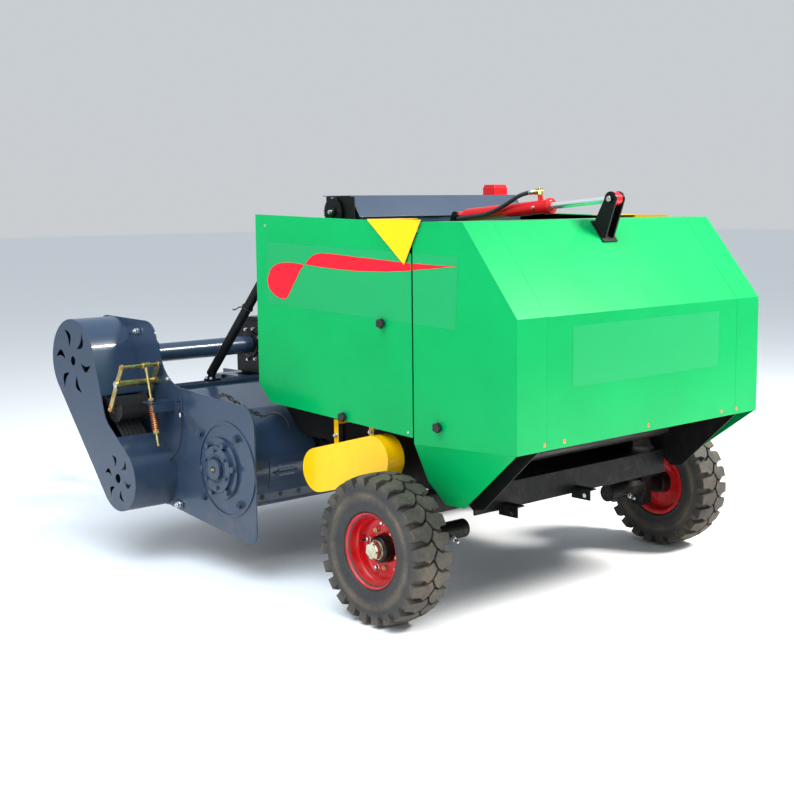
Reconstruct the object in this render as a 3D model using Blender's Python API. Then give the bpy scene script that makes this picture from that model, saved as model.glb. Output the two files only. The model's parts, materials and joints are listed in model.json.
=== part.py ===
"""Pull-type straw-crushing round baler: header, belt drive, bale chamber, tailgate, wheels, drawbar.

Metres, +Z up, +Y the way of travel, +X the machine's right. Shapes are laid out from the axle line
(y = 0) and the ground (z = 0); one parent empty then puts the origin at the bottom centre.
"""

import math

import bmesh
import bpy
from mathutils import Matrix, Vector

# Driving dimensions.
TOUCH = 0.0003                 # gap between meshes that touch
SHEET = 0.003                  # cover sheet
PLATE = 0.006                  # chamber and header plate
MOVING_GAP = 0.008             # between a moving panel and its fixed neighbour

TYRE_RADIUS = 0.295
TYRE_WIDTH = 0.175
TRACK = 1.786
WHEEL_SIDES = 28
RIM_EDGE_RADIUS = 0.149
RIM_SEAT_RADIUS = 0.128
RIM_WIDTH = 0.140
SPINDLE_RADIUS = 0.020
BORE_CLEARANCE = 0.0008

BODY_HALF = 0.760              # outer face of the side covers
CHAMBER_HALF = 0.620           # outer face of the chamber's fixed side walls
REAR_PANEL_HALF = 0.600
COVER_FRONT_Y = 0.975
SEAM_Y = -0.030
REAR_Y = -0.580
TOP_Z = 1.550
FRONT_TOP_Z = 1.578
SKIRT_FRONT_Z = 0.835
SKIRT_REAR_Z = 0.714
SKIRT_CHAMFER = 0.084
TOP_BREAK_Y = -0.304
REAR_TOP_Z = 1.207
CREASE_FRONT_Z = 0.690
TUCK = 0.060                   # how far the lower tailgate panels lean in
LOWER_EDGE_Z = 0.456

CHAMBER_CENTRE = (0.0, 1.020)
CHAMBER_RADIUS = 0.460
SLAT_HEIGHT = 0.014
SLAT_PITCH = math.radians(12.5)
SLAT_SHEET = 0.008
REAR_BEAM = (-0.205, 0.410)

HINGE = (-0.030, 1.430)
HINGE_RADIUS = 0.028
CYLINDER_PIN = (-0.400, 1.630)
CYLINDER_FOOT = (0.480, 1.560)
BARREL_RADIUS = 0.029
BARREL_LENGTH = 0.548
ROD_RADIUS = 0.014
ROD_HIDDEN = 0.030             # rod end left inside the barrel at rest

HEADER_HALF = 0.950
BEARING_DEPTH = 0.040
ROTOR_AXIS = (1.515, 0.389)
ROTOR_RADIUS = 0.235
AUGER_AXIS = (1.013, 0.475)
AUGER_RADIUS = 0.165
AUGER_FLANGE_RADIUS = 0.138
AUGER_STUB_RADIUS = 0.020
SHAFT_RADIUS = 0.024
SHAFT_AXIS = (1.887, 0.898)
IDLER_AXIS = (1.575, 0.700)
TUBE_RADIUS = 0.046
UPPER_PULLEY_RADIUS = 0.145
LOWER_PULLEY_RADIUS = 0.110
IDLER_RADIUS = 0.055
BELT_THICKNESS = 0.012
BELT_GAP = 0.0015              # between the loop and the wheels that turn inside it
BELT_WIDTH = 0.130
BELT_INNER_X = -1.000
GUARD_OUTER_X = -1.170
GUARD_UPPER_RADIUS = 0.197
GUARD_LOWER_RADIUS = 0.152
GUARD_BITE_RADIUS = 0.112
GUARD_BITE = (1.510, 0.715)

DRAWBAR_HALF = 0.050
DRAWBAR_Z = (0.450, 0.550)
HITCH_FRONT_Y = 3.060
JACK_AXIS = (-0.160, 2.800)
JACK_TOP_Z = 0.790
JACK_BOTTOM_Z = 0.300

AXLE_Z = TYRE_RADIUS
ARM_X = (0.680, 0.750)
ARM_HALF_Y = 0.030
AXLE_BEAM_Z = (0.3987, 0.4787)
AXLE_BEAM_HALF_Y = 0.040

KNOB_POINTS = ((0.141, 1.152), (0.387, 0.752))
SEAM_PLATE_GAP = 0.007
TAB_XS = (-0.460, -0.020)
CHAIN_GUARD_REAR = (0.182, 0.606)
CHAIN_GUARD_FRONT = (0.541, 0.511)
CHAIN_GUARD_RADIUS = 0.094
CHAIN_GUARD_TABS = (0.286, 0.513)
CHAIN_GUARD_X = (-0.790, -0.700)
GEARBOX_X = 0.130
GEARBOX_Y = (1.750, 2.000)
GEARBOX_Z = (0.742, 1.030)
BRACE_X = 0.700
LID_HINGE = (0.812, 1.655)
LID_REAR_Y = 0.560
TAILGATE_KNOB = (-0.178, 0.774)
TENSION_PIVOT = (1.512, 0.820)
TENSION_TOP = (1.464, 0.900)
ROD_GUIDE = (1.425, 0.735)
DOOR_X = (-0.830, -0.560)

# The origin: middle of the outside box over the ground.
SHIFT = Vector((-(GUARD_OUTER_X + HEADER_HALF + BEARING_DEPTH) / 2, -(HITCH_FRONT_Y + REAR_Y) / 2, 0.0))

COLOURS = {
    "green_paint": ((0.0, 0.48, 0.13), 0.30, 0.0),
    "header_paint": ((0.075, 0.105, 0.145), 0.32, 0.2),
    "yellow_paint": ((0.95, 0.72, 0.01), 0.38, 0.0),
    "red_paint": ((0.62, 0.01, 0.02), 0.33, 0.0),
    "black_paint": ((0.018, 0.018, 0.019), 0.50, 0.0),
    "chamber_steel": ((0.06, 0.055, 0.05), 0.55, 0.6),
    "zinc": ((0.62, 0.55, 0.34), 0.35, 0.9),
    "chrome": ((0.75, 0.76, 0.78), 0.10, 1.0),
    "tyre_rubber": ((0.035, 0.032, 0.028), 0.80, 0.0),
    "belt_rubber": ((0.02, 0.02, 0.02), 0.70, 0.0),
}


# Shape helpers.

def material(slot):
    found = bpy.data.materials.get(slot)
    if found:
        return found
    colour, roughness, metallic = COLOURS[slot]
    made = bpy.data.materials.new(slot)
    made.use_nodes = True
    shader = made.node_tree.nodes["Principled BSDF"]
    shader.inputs["Base Color"].default_value = (*colour, 1.0)
    shader.inputs["Roughness"].default_value = roughness
    shader.inputs["Metallic"].default_value = metallic
    return made


def solid(mesh_builder):
    """A scratch object from a function that fills a bmesh, with its faces pointing out."""
    mesh = bpy.data.meshes.new("piece")
    bm = bmesh.new()
    mesh_builder(bm)
    bmesh.ops.recalc_face_normals(bm, faces=bm.faces)
    bm.to_mesh(mesh)
    bm.free()
    made = bpy.data.objects.new("piece", mesh)
    bpy.context.scene.collection.objects.link(made)
    return made


def loft(rings, closed=False):
    """A solid through rings of equal length, capped at its ends unless it closes on itself."""
    def build(bm):
        loops = [[bm.verts.new(point) for point in ring] for ring in rings]
        pairs = list(zip(loops, loops[1:]))
        if closed:
            pairs.append((loops[-1], loops[0]))
        for low, high in pairs:
            for i in range(len(low)):
                j = (i + 1) % len(low)
                bm.faces.new((low[i], low[j], high[j], high[i]))
        if not closed:
            bm.faces.new(loops[0][::-1])
            bm.faces.new(loops[-1])
    return solid(build)


def prism_x(outline, x0, x1):
    """An outline of (y, z) points, extruded across the machine."""
    return loft([[(x, y, z) for y, z in outline] for x in (x0, x1)])


def prism_z(outline, z0, z1):
    return loft([[(x, y, z) for x, y in outline] for z in (z0, z1)])


def prism_y(outline, y0, y1):
    return loft([[(x, y, z) for x, z in outline] for y in (y0, y1)])


def box(x0, x1, y0, y1, z0, z1):
    return prism_z([(x0, y0), (x1, y0), (x1, y1), (x0, y1)], z0, z1)


def circle(centre, radius, count=24):
    return arc(centre, radius, 0.0, 2 * math.pi * (count - 1) / count, count)


def arc(centre, radius, start, end, count):
    """Points on an arc from one angle to another, both ends included."""
    steps = [start + (end - start) * i / (count - 1) for i in range(count)]
    return [(centre[0] + radius * math.cos(a), centre[1] + radius * math.sin(a)) for a in steps]


def rod_x(centre, radius, x0, x1, count=24):
    return prism_x(circle(centre, radius, count), x0, x1)


def turned_x(profile, centre, count=36):
    """A closed (x, radius) profile turned about an axle that runs across the machine."""
    rings = []
    for i in range(count):
        a = 2 * math.pi * i / count
        rings.append([(x, centre[0] + r * math.cos(a), centre[1] + r * math.sin(a)) for x, r in profile])
    return loft(rings, closed=True)


def strut(start, end, radius, count=12):
    """A round bar between two points."""
    direction = Vector(end) - Vector(start)
    turn = direction.to_track_quat("Z", "Y").to_matrix()
    ring = [turn @ Vector((x, y, 0.0)) for x, y in circle((0.0, 0.0), radius, count)]
    return loft([[Vector(at) + point for point in ring] for at in (start, end)])


def wrap(circles, grow=0.0, step=math.radians(12)):
    """The taut outline round circles (y, z, radius, side); side -1 bends it inward round a circle."""
    circles = [(y, z, radius + side * grow, side) for y, z, radius, side in circles]
    normals = []
    for i, (ya, za, ra, sa) in enumerate(circles):
        yb, zb, rb, sb = circles[(i + 1) % len(circles)]
        dy, dz = yb - ya, zb - za
        far = math.hypot(dy, dz)
        lean = (sa * ra - sb * rb) / far
        along = (dy / far, dz / far)
        across = (along[1], -along[0])
        rest = math.sqrt(1.0 - lean * lean)
        normals.append(math.atan2(lean * along[1] + rest * across[1], lean * along[0] + rest * across[0]))
    points = []
    for i, (y, z, radius, side) in enumerate(circles):
        start, end = normals[i - 1], normals[i]
        if side > 0:
            while end < start:
                end += 2 * math.pi
        else:
            while end > start:
                end -= 2 * math.pi
        count = max(2, math.ceil(abs(end - start) / step) + 1)
        points += arc((y, z), side * radius, start, end, count)
    return points


def sheet_strip(path, x0, x1, thickness):
    """A bent sheet: a (y, z) path thickened to its right-hand side, extruded across the machine."""
    normals = []
    for (ya, za), (yb, zb) in zip(path, path[1:]):
        far = math.hypot(yb - ya, zb - za)
        normals.append(Vector(((zb - za) / far, -(yb - ya) / far)))
    inner = []
    for i, point in enumerate(path):
        before = normals[max(i - 1, 0)]
        after = normals[min(i, len(normals) - 1)]
        middle = (before + after).normalized()
        inner.append(Vector(point) + middle * (thickness / middle.dot(after)))
    return prism_x([tuple(p) for p in path] + [tuple(p) for p in reversed(inner)], x0, x1)


def plate(points, thickness):
    """A flat plate from its outer corners, thickened along the turn of its corners."""
    corners = [Vector(p) for p in points]
    normal = (corners[1] - corners[0]).cross(corners[2] - corners[1]).normalized()
    return loft([corners, [p + normal * thickness for p in corners]])


def mirrored(piece):
    """The same piece on the machine's other side."""
    piece.data.transform(Matrix.Scale(-1.0, 4, (1.0, 0.0, 0.0)))
    piece.data.flip_normals()
    return piece


def combine(base, others, operation="UNION"):
    """Boolean the other pieces into the base, and return it as one plain mesh."""
    for other in others:
        step = base.modifiers.new("step", "BOOLEAN")
        step.operation = operation
        step.solver = "EXACT"
        step.object = other
    graph = bpy.context.evaluated_depsgraph_get()
    mesh = bpy.data.meshes.new_from_object(base.evaluated_get(graph))
    base.modifiers.clear()
    base.data = mesh
    for other in others:
        bpy.data.objects.remove(other)
    return base


def join(*pieces):
    return combine(pieces[0], pieces[1:])


def cut(base, *tools):
    return combine(base, tools, "DIFFERENCE")


def node(name, piece, slot, origin=(0.0, 0.0, 0.0), smooth=True):
    """Name a finished piece, give it its paint and put its origin where asked."""
    piece.name = name
    piece.data.name = name
    piece.data.materials.clear()
    piece.data.materials.append(material(slot))
    if smooth:
        piece.data.shade_smooth()
        piece.data.set_sharp_from_angle(angle=math.radians(35))
    piece.data.transform(Matrix.Translation(-Vector(origin)))
    piece.parent = FRAME
    piece.location = origin
    return piece


def both_sides(name, make, slot):
    """The left piece as made, and its mirror image on the right."""
    node(name + "_left", make(), slot)
    node(name + "_right", mirrored(make()), slot)


# Wheels and axle.

def tyre_profile(middle):
    half = TYRE_WIDTH / 2
    seat = RIM_SEAT_RADIUS + TOUCH
    bead = RIM_WIDTH / 2 - 0.008
    tread = TYRE_RADIUS
    outer = [(-half * 0.80, tread - 0.010), (-half, tread - 0.030), (-half, seat + 0.075),
             (-half * 0.93, RIM_EDGE_RADIUS + 0.012), (-bead, RIM_EDGE_RADIUS + 0.004), (-bead, seat)]
    right = [(-x, r) for x, r in reversed(outer)]
    crown = [(half * 0.45, tread), (-half * 0.45, tread)]
    return [(middle + x, r) for x, r in outer + right + crown]


def rim_profile(middle, out):
    """Outer barrel, well and dished disc as one section; out is the side that faces away."""
    half = RIM_WIDTH / 2
    wall = 0.004
    seat = RIM_SEAT_RADIUS
    edge = RIM_EDGE_RADIUS
    bore = SPINDLE_RADIUS + BORE_CLEARANCE
    section = [(half, edge), (half - wall, edge), (half - 0.0075, seat), (half - 0.040, seat),
               (half - 0.048, seat - 0.014), (-half + 0.048, seat - 0.014), (-half + 0.040, seat),
               (-half + 0.0075, seat), (-half + wall, edge), (-half, edge),
               (-half, edge - 0.006), (-half + 0.006, seat - wall), (-half + 0.040, seat - wall),
               (-half + 0.046, seat - 0.018), (-0.012, seat - 0.018), (-0.018, 0.075),
               (-0.018, 0.050), (-0.070, 0.045), (-0.070, bore), (0.042, bore), (0.042, 0.040),
               (0.030, 0.050), (-0.010, 0.052), (-0.010, 0.075), (0.004, seat - 0.018),
               (half - 0.046, seat - 0.018), (half - 0.040, seat - wall), (half - 0.006, seat - wall),
               (half, edge - 0.006)]
    return [(middle + out * x, r) for x, r in section]


def wheels():
    for side, out in (("left", -1), ("right", 1)):
        middle = out * TRACK / 2
        axle = (0.0, AXLE_Z)
        origin = (middle, 0.0, AXLE_Z)
        node("tyre_" + side, turned_x(tyre_profile(middle), axle, WHEEL_SIDES), "tyre_rubber", origin)
        node("rim_" + side, turned_x(rim_profile(middle, out), axle, WHEEL_SIDES), "red_paint", origin)


def axle_arm():
    """Left stub: upright arm, the clamped tube it grew from, spindle and its end nut."""
    outer, inner = -ARM_X[1], -ARM_X[0]
    middle = -TRACK / 2
    nut_inner = middle - 0.042 - BORE_CLEARANCE
    arm = box(outer, inner, -ARM_HALF_Y, ARM_HALF_Y, 0.215, AXLE_BEAM_Z[1] - 0.020)
    tube = rod_x((0.0, AXLE_Z + 0.006), 0.0385, inner - 0.02, -0.460)
    spindle = rod_x((0.0, AXLE_Z), SPINDLE_RADIUS, nut_inner - 0.01, outer + 0.01)
    collar = rod_x((0.0, AXLE_Z), 0.032, middle + 0.074, outer + 0.01)
    washer = rod_x((0.0, AXLE_Z), 0.036, nut_inner - 0.006, nut_inner)
    nut = rod_x((0.0, AXLE_Z), 0.034, nut_inner - 0.024, nut_inner - 0.004, 6)
    return join(arm, tube, spindle, collar, washer, nut)


def axle():
    beam = box(-ARM_X[1], ARM_X[1], -AXLE_BEAM_HALF_Y, AXLE_BEAM_HALF_Y, *AXLE_BEAM_Z)
    inset = 0.006
    bore = box(-ARM_X[1] - 0.01, ARM_X[1] + 0.01, -AXLE_BEAM_HALF_Y + inset, AXLE_BEAM_HALF_Y - inset,
               AXLE_BEAM_Z[0] + inset, AXLE_BEAM_Z[1] - inset)
    beam = cut(beam, bore)
    slot = 0.0005
    sockets = [box(x - slot, x + ARM_X[1] - ARM_X[0] + slot, -ARM_HALF_Y - slot, ARM_HALF_Y + slot,
                   AXLE_BEAM_Z[0] - 0.01, AXLE_BEAM_Z[1] - 0.012) for x in (-ARM_X[1], ARM_X[0])]
    node("axle_beam", cut(beam, *sockets), "black_paint")
    both_sides("axle_arm", axle_arm, "black_paint")


# Bale chamber, fixed front half.

def slat_band(start, end, half):
    """Part of the chamber's round wall: a rolled sheet with raised slats on its outside."""
    inner = CHAMBER_RADIUS
    base = inner + SLAT_SHEET
    count = max(1, round((end - start) / SLAT_PITCH))
    span = (end - start) / count
    outer = [(base, start)]
    for i in range(count):
        a = start + span * i
        outer += [(base, a + span * 0.30), (base + SLAT_HEIGHT, a + span * 0.38),
                  (base + SLAT_HEIGHT, a + span * 0.92), (base, a + span)]
    back = [(inner, end - (end - start) * i / (2 * count)) for i in range(2 * count + 1)]
    outline = [(CHAMBER_CENTRE[0] + r * math.cos(a), CHAMBER_CENTRE[1] + r * math.sin(a))
               for r, a in outer + back]
    return prism_x(outline, -half, half)


def chamber():
    front = COVER_FRONT_Y - 0.045
    seam = SEAM_Y + MOVING_GAP
    outline = [(seam, 0.480), (0.250, 0.480), (0.620, 0.560), (front, 0.800), (front, 1.500),
               (0.120, 1.500), (HINGE[0] - 0.045, HINGE[1] + 0.045), (HINGE[0] - 0.045, HINGE[1] - 0.045),
               (seam, 1.340)]
    walls = [prism_x(outline, x, x + PLATE) for x in (-CHAMBER_HALF, CHAMBER_HALF - PLATE)]
    reach = CHAMBER_HALF - PLATE / 2
    bars = [
        rod_x(HINGE, HINGE_RADIUS, -BODY_HALF + 0.030, BODY_HALF - 0.030),
        box(-reach, reach, front - 0.060, front - 0.005, 1.420, 1.475),
        box(-reach, reach, front - 0.060, front - 0.005, 0.820, 0.875),
        box(-reach, reach, 0.100, 0.160, 0.474, 0.514),
    ]
    beam_y, beam_z = REAR_BEAM
    floor = sheet_strip([(0.150, 0.480), (beam_y + 0.010, beam_z + 0.095), (beam_y, beam_z)],
                        -reach + 0.010, reach - 0.010, 0.008)
    stringers = [box(x - 0.020, x + 0.020, beam_y + 0.004, 0.140, 0.479, 0.507) for x in (-0.52, 0.52)]
    tabs = [box(x, x + 0.042, beam_y - 0.095, beam_y + 0.004, beam_z + 0.020, beam_z + 0.026) for x in TAB_XS]
    webs = [box(x, x + 0.006, beam_y - 0.095, beam_y + 0.004, beam_z - 0.020, beam_z + 0.024) for x in TAB_XS]
    studs = []
    for y, z in KNOB_POINTS:
        for side in (-1, 1):
            ends = sorted((side * (BODY_HALF - SHEET - TOUCH), side * (CHAMBER_HALF - 0.002)))
            studs.append(rod_x((y, z), 0.012, *ends, 10))
    node("chamber_frame", join(*walls, *bars, floor, *stringers, *tabs, *webs, *studs), "black_paint")
    half = CHAMBER_HALF - PLATE - TOUCH
    node("chamber_slats_front", slat_band(math.radians(-14), math.radians(84), half), "chamber_steel")
    node("chamber_slats_floor", slat_band(math.radians(257), math.radians(300), half), "chamber_steel")


def front_cover():
    """Left front side cover with its folded front, top and rear edges."""
    x = -BODY_HALF
    rear = SEAM_Y + MOVING_GAP / 2
    outline = [(COVER_FRONT_Y, FRONT_TOP_Z), (0.190, TOP_Z + 0.004), (rear, HINGE[1] - 0.005),
               (rear, SKIRT_REAR_Z), (COVER_FRONT_Y - SKIRT_CHAMFER, SKIRT_FRONT_Z - 0.075),
               (COVER_FRONT_Y, SKIRT_FRONT_Z)]
    face = prism_x(outline, x, x + SHEET)
    fold = 0.030
    front = box(x, x + fold, COVER_FRONT_Y - SHEET, COVER_FRONT_Y, SKIRT_FRONT_Z + 0.002, FRONT_TOP_Z - 0.004)
    top = prism_x([(0.215, TOP_Z + 0.001), (COVER_FRONT_Y - 0.001, FRONT_TOP_Z - 0.004),
                   (COVER_FRONT_Y - 0.001, FRONT_TOP_Z - 0.001), (0.215, TOP_Z + 0.004)], x, x + fold)
    return join(face, front, top)


def seam_plate():
    """Left yellow corner plate over the hinge seam, with its top folded in over the deck."""
    x = -BODY_HALF - SEAM_PLATE_GAP
    top = TOP_Z + 0.008
    face = prism_x([(0.219, top), (-0.092, top), (0.005, 1.386)], x - SHEET, x)
    fold = box(x - SHEET, x + 0.160, 0.100, 0.219, top - 0.001, top + 0.002)
    spacer = box(x - 0.001, -BODY_HALF - TOUCH, 0.100, 0.120, 1.480, 1.500)
    return join(face, fold, spacer)


def covers():
    both_sides("front_cover", front_cover, "green_paint")
    both_sides("seam_plate", seam_plate, "yellow_paint")

    skin = BODY_HALF - SHEET - TOUCH
    front = COVER_FRONT_Y - 0.045 + TOUCH
    deck = box(-skin, skin, 0.230, front + 0.002, 1.500 + TOUCH, 1.503 + TOUCH)
    apron = box(-skin + 0.032, skin - 0.032, front, front + 0.003, 0.800, 1.500 + 0.002)
    node("front_panel", join(deck, apron), "green_paint")
    lid_y, lid_z = LID_HINGE
    floor_z = 1.503 + 2 * TOUCH
    rear_y, break_y, front_y = LID_REAR_Y + 0.014, LID_REAR_Y + 0.070, lid_y - 0.008
    rim_z = lid_z - SHEET - TOUCH
    case = prism_x([(rear_y, floor_z), (rear_y, 1.558), (break_y, rim_z), (front_y, rim_z),
                    (front_y, floor_z)], -0.500, 0.500)
    room = prism_x([(rear_y + 0.002, floor_z + 0.002), (rear_y + 0.002, 1.572), (break_y + 0.010, 1.700),
                    (front_y - 0.002, 1.700), (front_y - 0.002, floor_z + 0.002)], -0.498, 0.498)
    node("twine_box", cut(case, room), "header_paint")
    lid = sheet_strip([(LID_REAR_Y, 1.564), (break_y - 0.008, lid_z), (lid_y - 0.002, lid_z)],
                      -0.515, 0.515, SHEET)
    node("twine_box_lid", lid, "header_paint", (0.0, *LID_HINGE))
    cheek = box(-0.536, -0.530, LID_REAR_Y + 0.014, 0.760, floor_z, 1.650)
    foot = box(-0.536, -0.504, LID_REAR_Y + 0.014, 0.760, floor_z, floor_z + 0.005)
    node("twine_gear_plate", join(cheek, foot), "black_paint")
    tank = box(0.555, 0.650, 0.800, 0.880, floor_z, 1.708)
    node("oil_tank", tank, "red_paint")


# Tailgate.

def tailgate_wall():
    """Left side wall of the tailgate, outside the fixed wall, with its hinge eye."""
    outer = -(CHAMBER_HALF + MOVING_GAP + PLATE)
    front = SEAM_Y - MOVING_GAP / 2
    outline = [(-0.100, 1.520), (TOP_BREAK_Y + 0.010, 1.520), (REAR_Y + 0.016, REAR_TOP_Z - 0.008),
               (REAR_Y + 0.010, SKIRT_REAR_Z), (-0.288, 0.450), (-0.228, 0.440), (-0.120, 0.520),
               (front - 0.020, 0.620), (front - 0.010, HINGE[1] - 0.075),
               (HINGE[0] + 0.050, HINGE[1] - 0.040),
               (HINGE[0] + 0.050, HINGE[1] + 0.040), (HINGE[0] + 0.010, HINGE[1] + 0.060)]
    wall = prism_x(outline, outer, outer + PLATE)
    eye = rod_x(HINGE, HINGE_RADIUS + BORE_CLEARANCE, outer - 0.05, outer + 0.05)
    return cut(wall, eye)


def tailgate_cover():
    """Left corner cover: side, sloped and rear strips folded from one sheet, and the tucked-in skirt."""
    x = -BODY_HALF
    front = SEAM_Y - MOVING_GAP / 2
    corner = SKIRT_REAR_Z
    outline = [(front, CREASE_FRONT_Z), (front, HINGE[1] + 0.030), (front - 0.051, TOP_Z - 0.001),
               (TOP_BREAK_Y, TOP_Z), (REAR_Y, REAR_TOP_Z), (REAR_Y, corner)]
    side = prism_x(outline, x, x + SHEET)
    wrap_path = [(front - 0.055, TOP_Z), (TOP_BREAK_Y, TOP_Z), (REAR_Y, REAR_TOP_Z), (REAR_Y, corner)]
    rear = sheet_strip(wrap_path[::-1], x, -REAR_PANEL_HALF - TOUCH, SHEET)
    lean = TUCK / (CREASE_FRONT_Z - LOWER_EDGE_Z)
    skirt_points = [(front, CREASE_FRONT_Z), (REAR_Y, corner), (-0.247, LOWER_EDGE_Z + 0.003),
                    (-0.144, LOWER_EDGE_Z), (front - 0.032, 0.540)]
    slope = [(x + max(0.0, (corner - z) * lean), y, z) for y, z in skirt_points]
    slope[0] = (x + 0.0005, front, CREASE_FRONT_Z + 0.003)
    slope[1] = (x + 0.0005, REAR_Y, corner + 0.003)
    skirt = plate(slope, SHEET)
    return join(side, rear, skirt)


def tailgate():
    origin = (0.0, *HINGE)
    parts = {"left": tailgate_wall(), "right": mirrored(tailgate_wall())}
    reach = CHAMBER_HALF + MOVING_GAP + PLATE / 2
    bars = [box(-reach, reach, -0.185, -0.135, 1.485, 1.520),
            box(-reach, reach, TOP_BREAK_Y + 0.012, TOP_BREAK_Y + 0.062, 1.470, 1.515),
            box(-reach, reach, REAR_Y + 0.012, REAR_Y + 0.050, 0.745, 0.785),
            box(-reach, reach, REAR_Y + 0.020, REAR_Y + 0.058, 1.130, 1.180)]
    studs = []
    for side in (-1, 1):
        ends = sorted((side * (BODY_HALF - SHEET - TOUCH), side * (CHAMBER_HALF + MOVING_GAP + 0.002)))
        studs.append(rod_x(TAILGATE_KNOB, 0.012, *ends, 10))
    node("tailgate_frame", join(parts["left"], parts["right"], *bars, *studs), "black_paint", origin)
    half = CHAMBER_HALF - PLATE - MOVING_GAP
    band = slat_band(math.radians(100), math.radians(249), half)
    hangers = [box(x - 0.015, x + 0.015, -0.180, -0.140, 1.455, 1.4850 - TOUCH) for x in (-0.40, 0.40)]
    heels = [box(x - 0.015, x + 0.015, REAR_Y + 0.020, -0.398, 0.7855, 0.800) for x in (-0.40, 0.40)]
    node("tailgate_slats", join(band, *hangers, *heels), "chamber_steel", origin)
    for side in ("left", "right"):
        piece = tailgate_cover() if side == "left" else mirrored(tailgate_cover())
        node("tailgate_cover_" + side, piece, "green_paint", origin)
    panel_path = [(REAR_Y, SKIRT_REAR_Z), (REAR_Y, REAR_TOP_Z), (TOP_BREAK_Y, TOP_Z), (-0.100, TOP_Z)]
    panel = sheet_strip(panel_path, -REAR_PANEL_HALF, REAR_PANEL_HALF, SHEET)
    node("tailgate_rear_panel", panel, "green_paint", origin)
    clevis()


def clevis():
    """Two black ears on the sloped panel that take the cylinder's rod eye."""

    slope = Vector((REAR_Y - TOP_BREAK_Y, REAR_TOP_Z - TOP_Z)).normalized()
    lift = Vector((slope.y, -slope.x)) * (1 if -slope.x > 0 else -1)
    base = Vector((TOP_BREAK_Y, TOP_Z)) + lift * TOUCH
    near, far = base + slope * 0.020, base + slope * 0.110
    ring = arc(CYLINDER_PIN, 0.030, math.radians(205), math.radians(0), 9)
    outline = [tuple(near), tuple(far)] + ring
    ears = [prism_x(outline, x, x + 0.008) for x in (-0.0288, 0.0208)]
    foot = loft([[(x, *(base + slope * s + lift * h)) for s, h in
                  ((0.012, 0.0), (0.118, 0.0), (0.118, 0.007), (0.012, 0.007))] for x in (-0.044, 0.044)])
    heads = [rod_x(CYLINDER_PIN, 0.013, *ends, 12) for ends in ((-0.038, -0.024), (0.024, 0.038))]
    node("tailgate_clevis", join(foot, *ears, *heads), "black_paint", (0.0, *HINGE))



def cylinder():
    foot_y, foot_z = CYLINDER_FOOT
    foot = Vector(CYLINDER_FOOT)
    run = (Vector(CYLINDER_PIN) - foot).normalized()
    across = 0.020

    def along(distance):
        return (0.0, *(foot + run * distance))

    lugs = [prism_x([(foot_y - 0.030, 1.504), (foot_y + 0.040, 1.504)]
                    + arc(CYLINDER_FOOT, 0.022, 0.0, math.pi, 9), x, x + 0.008)
            for x in (-across - 0.012, across + 0.004)]
    shoe = box(-0.060, 0.060, foot_y - 0.040, foot_y + 0.050, 1.5035, 1.510)
    pin = rod_x(CYLINDER_FOOT, 0.010, -across - 0.016, across + 0.016, 16)
    node("cylinder_bracket", join(shoe, *lugs, pin), "black_paint")

    eye = rod_x(CYLINDER_FOOT, 0.021, -across, across)
    tube = strut(along(0.050), along(BARREL_LENGTH - 0.030), BARREL_RADIUS, 20)
    neck = strut(along(0.0), along(0.055), 0.017, 12)
    gland = strut(along(BARREL_LENGTH - 0.034), along(BARREL_LENGTH), BARREL_RADIUS + 0.005, 24)
    port = strut(along(BARREL_LENGTH - 0.060), tuple(Vector(along(BARREL_LENGTH - 0.060))
                 + Vector((0.0, 0.004, 0.052))), 0.011, 12)
    bore = strut(along(0.062), along(BARREL_LENGTH + 0.02), ROD_RADIUS + BORE_CLEARANCE, 20)
    hole = rod_x(CYLINDER_FOOT, 0.010 + BORE_CLEARANCE, -across - 0.01, across + 0.01, 16)
    node("cylinder_barrel", cut(join(eye, neck, tube, gland, port), bore, hole), "red_paint",
         (0.0, *CYLINDER_FOOT))

    far = (Vector(CYLINDER_PIN) - foot).length
    rod = strut(along(BARREL_LENGTH + 0.005 - ROD_HIDDEN), along(far - 0.022), ROD_RADIUS, 20)
    head = rod_x(CYLINDER_PIN, 0.027, -0.020, 0.020)
    node("cylinder_rod", join(rod, head), "chrome", (0.0, *CYLINDER_PIN))

    top = Vector(along(BARREL_LENGTH - 0.060)) + Vector((0.0, 0.004, 0.0558))
    route = [top, top + Vector((-0.008, 0.030, 0.012)), top + Vector((-0.030, 0.085, -0.008)),
             top + Vector((-0.046, 0.165, -0.054)), top + Vector((-0.050, 0.290, -0.098)),
             top + Vector((-0.052, 0.440, -0.112))]
    node("hydraulic_hose", hose(route, 0.0085), "belt_rubber", (0.0, *CYLINDER_FOOT))


def hose(points, radius, count=10):
    """A smooth tube through a few points."""
    path = []
    for i in range(len(points) - 1):
        before = points[max(i - 1, 0)]
        after = points[min(i + 2, len(points) - 1)]
        for step in range(4):
            t = step / 4
            a, b = points[i], points[i + 1]
            path.append(0.5 * ((2 * a) + (b - before) * t + (2 * before - 5 * a + 4 * b - after) * t ** 2
                               + (3 * a - before - 3 * b + after) * t ** 3))
    path.append(points[-1])
    rings = []
    for i, point in enumerate(path):
        direction = path[min(i + 1, len(path) - 1)] - path[max(i - 1, 0)]
        if i == 0:
            direction = Vector((0.0, 0.0, 1.0))
        side = Vector((1.0, 0.0, 0.0))
        up = direction.cross(side).normalized()
        side = up.cross(direction).normalized()
        rings.append([point + side * x + up * y for x, y in circle((0.0, 0.0), radius, count)])
    return loft(rings)


# Header: crushing rotor, auger and its trough.

def auger_trough(grow, start=None, end=None):
    start = math.radians(150) if start is None else start
    end = math.radians(335) if end is None else end
    return arc(AUGER_AXIS, AUGER_RADIUS + 0.025 + grow, start, end, 16)


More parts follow.
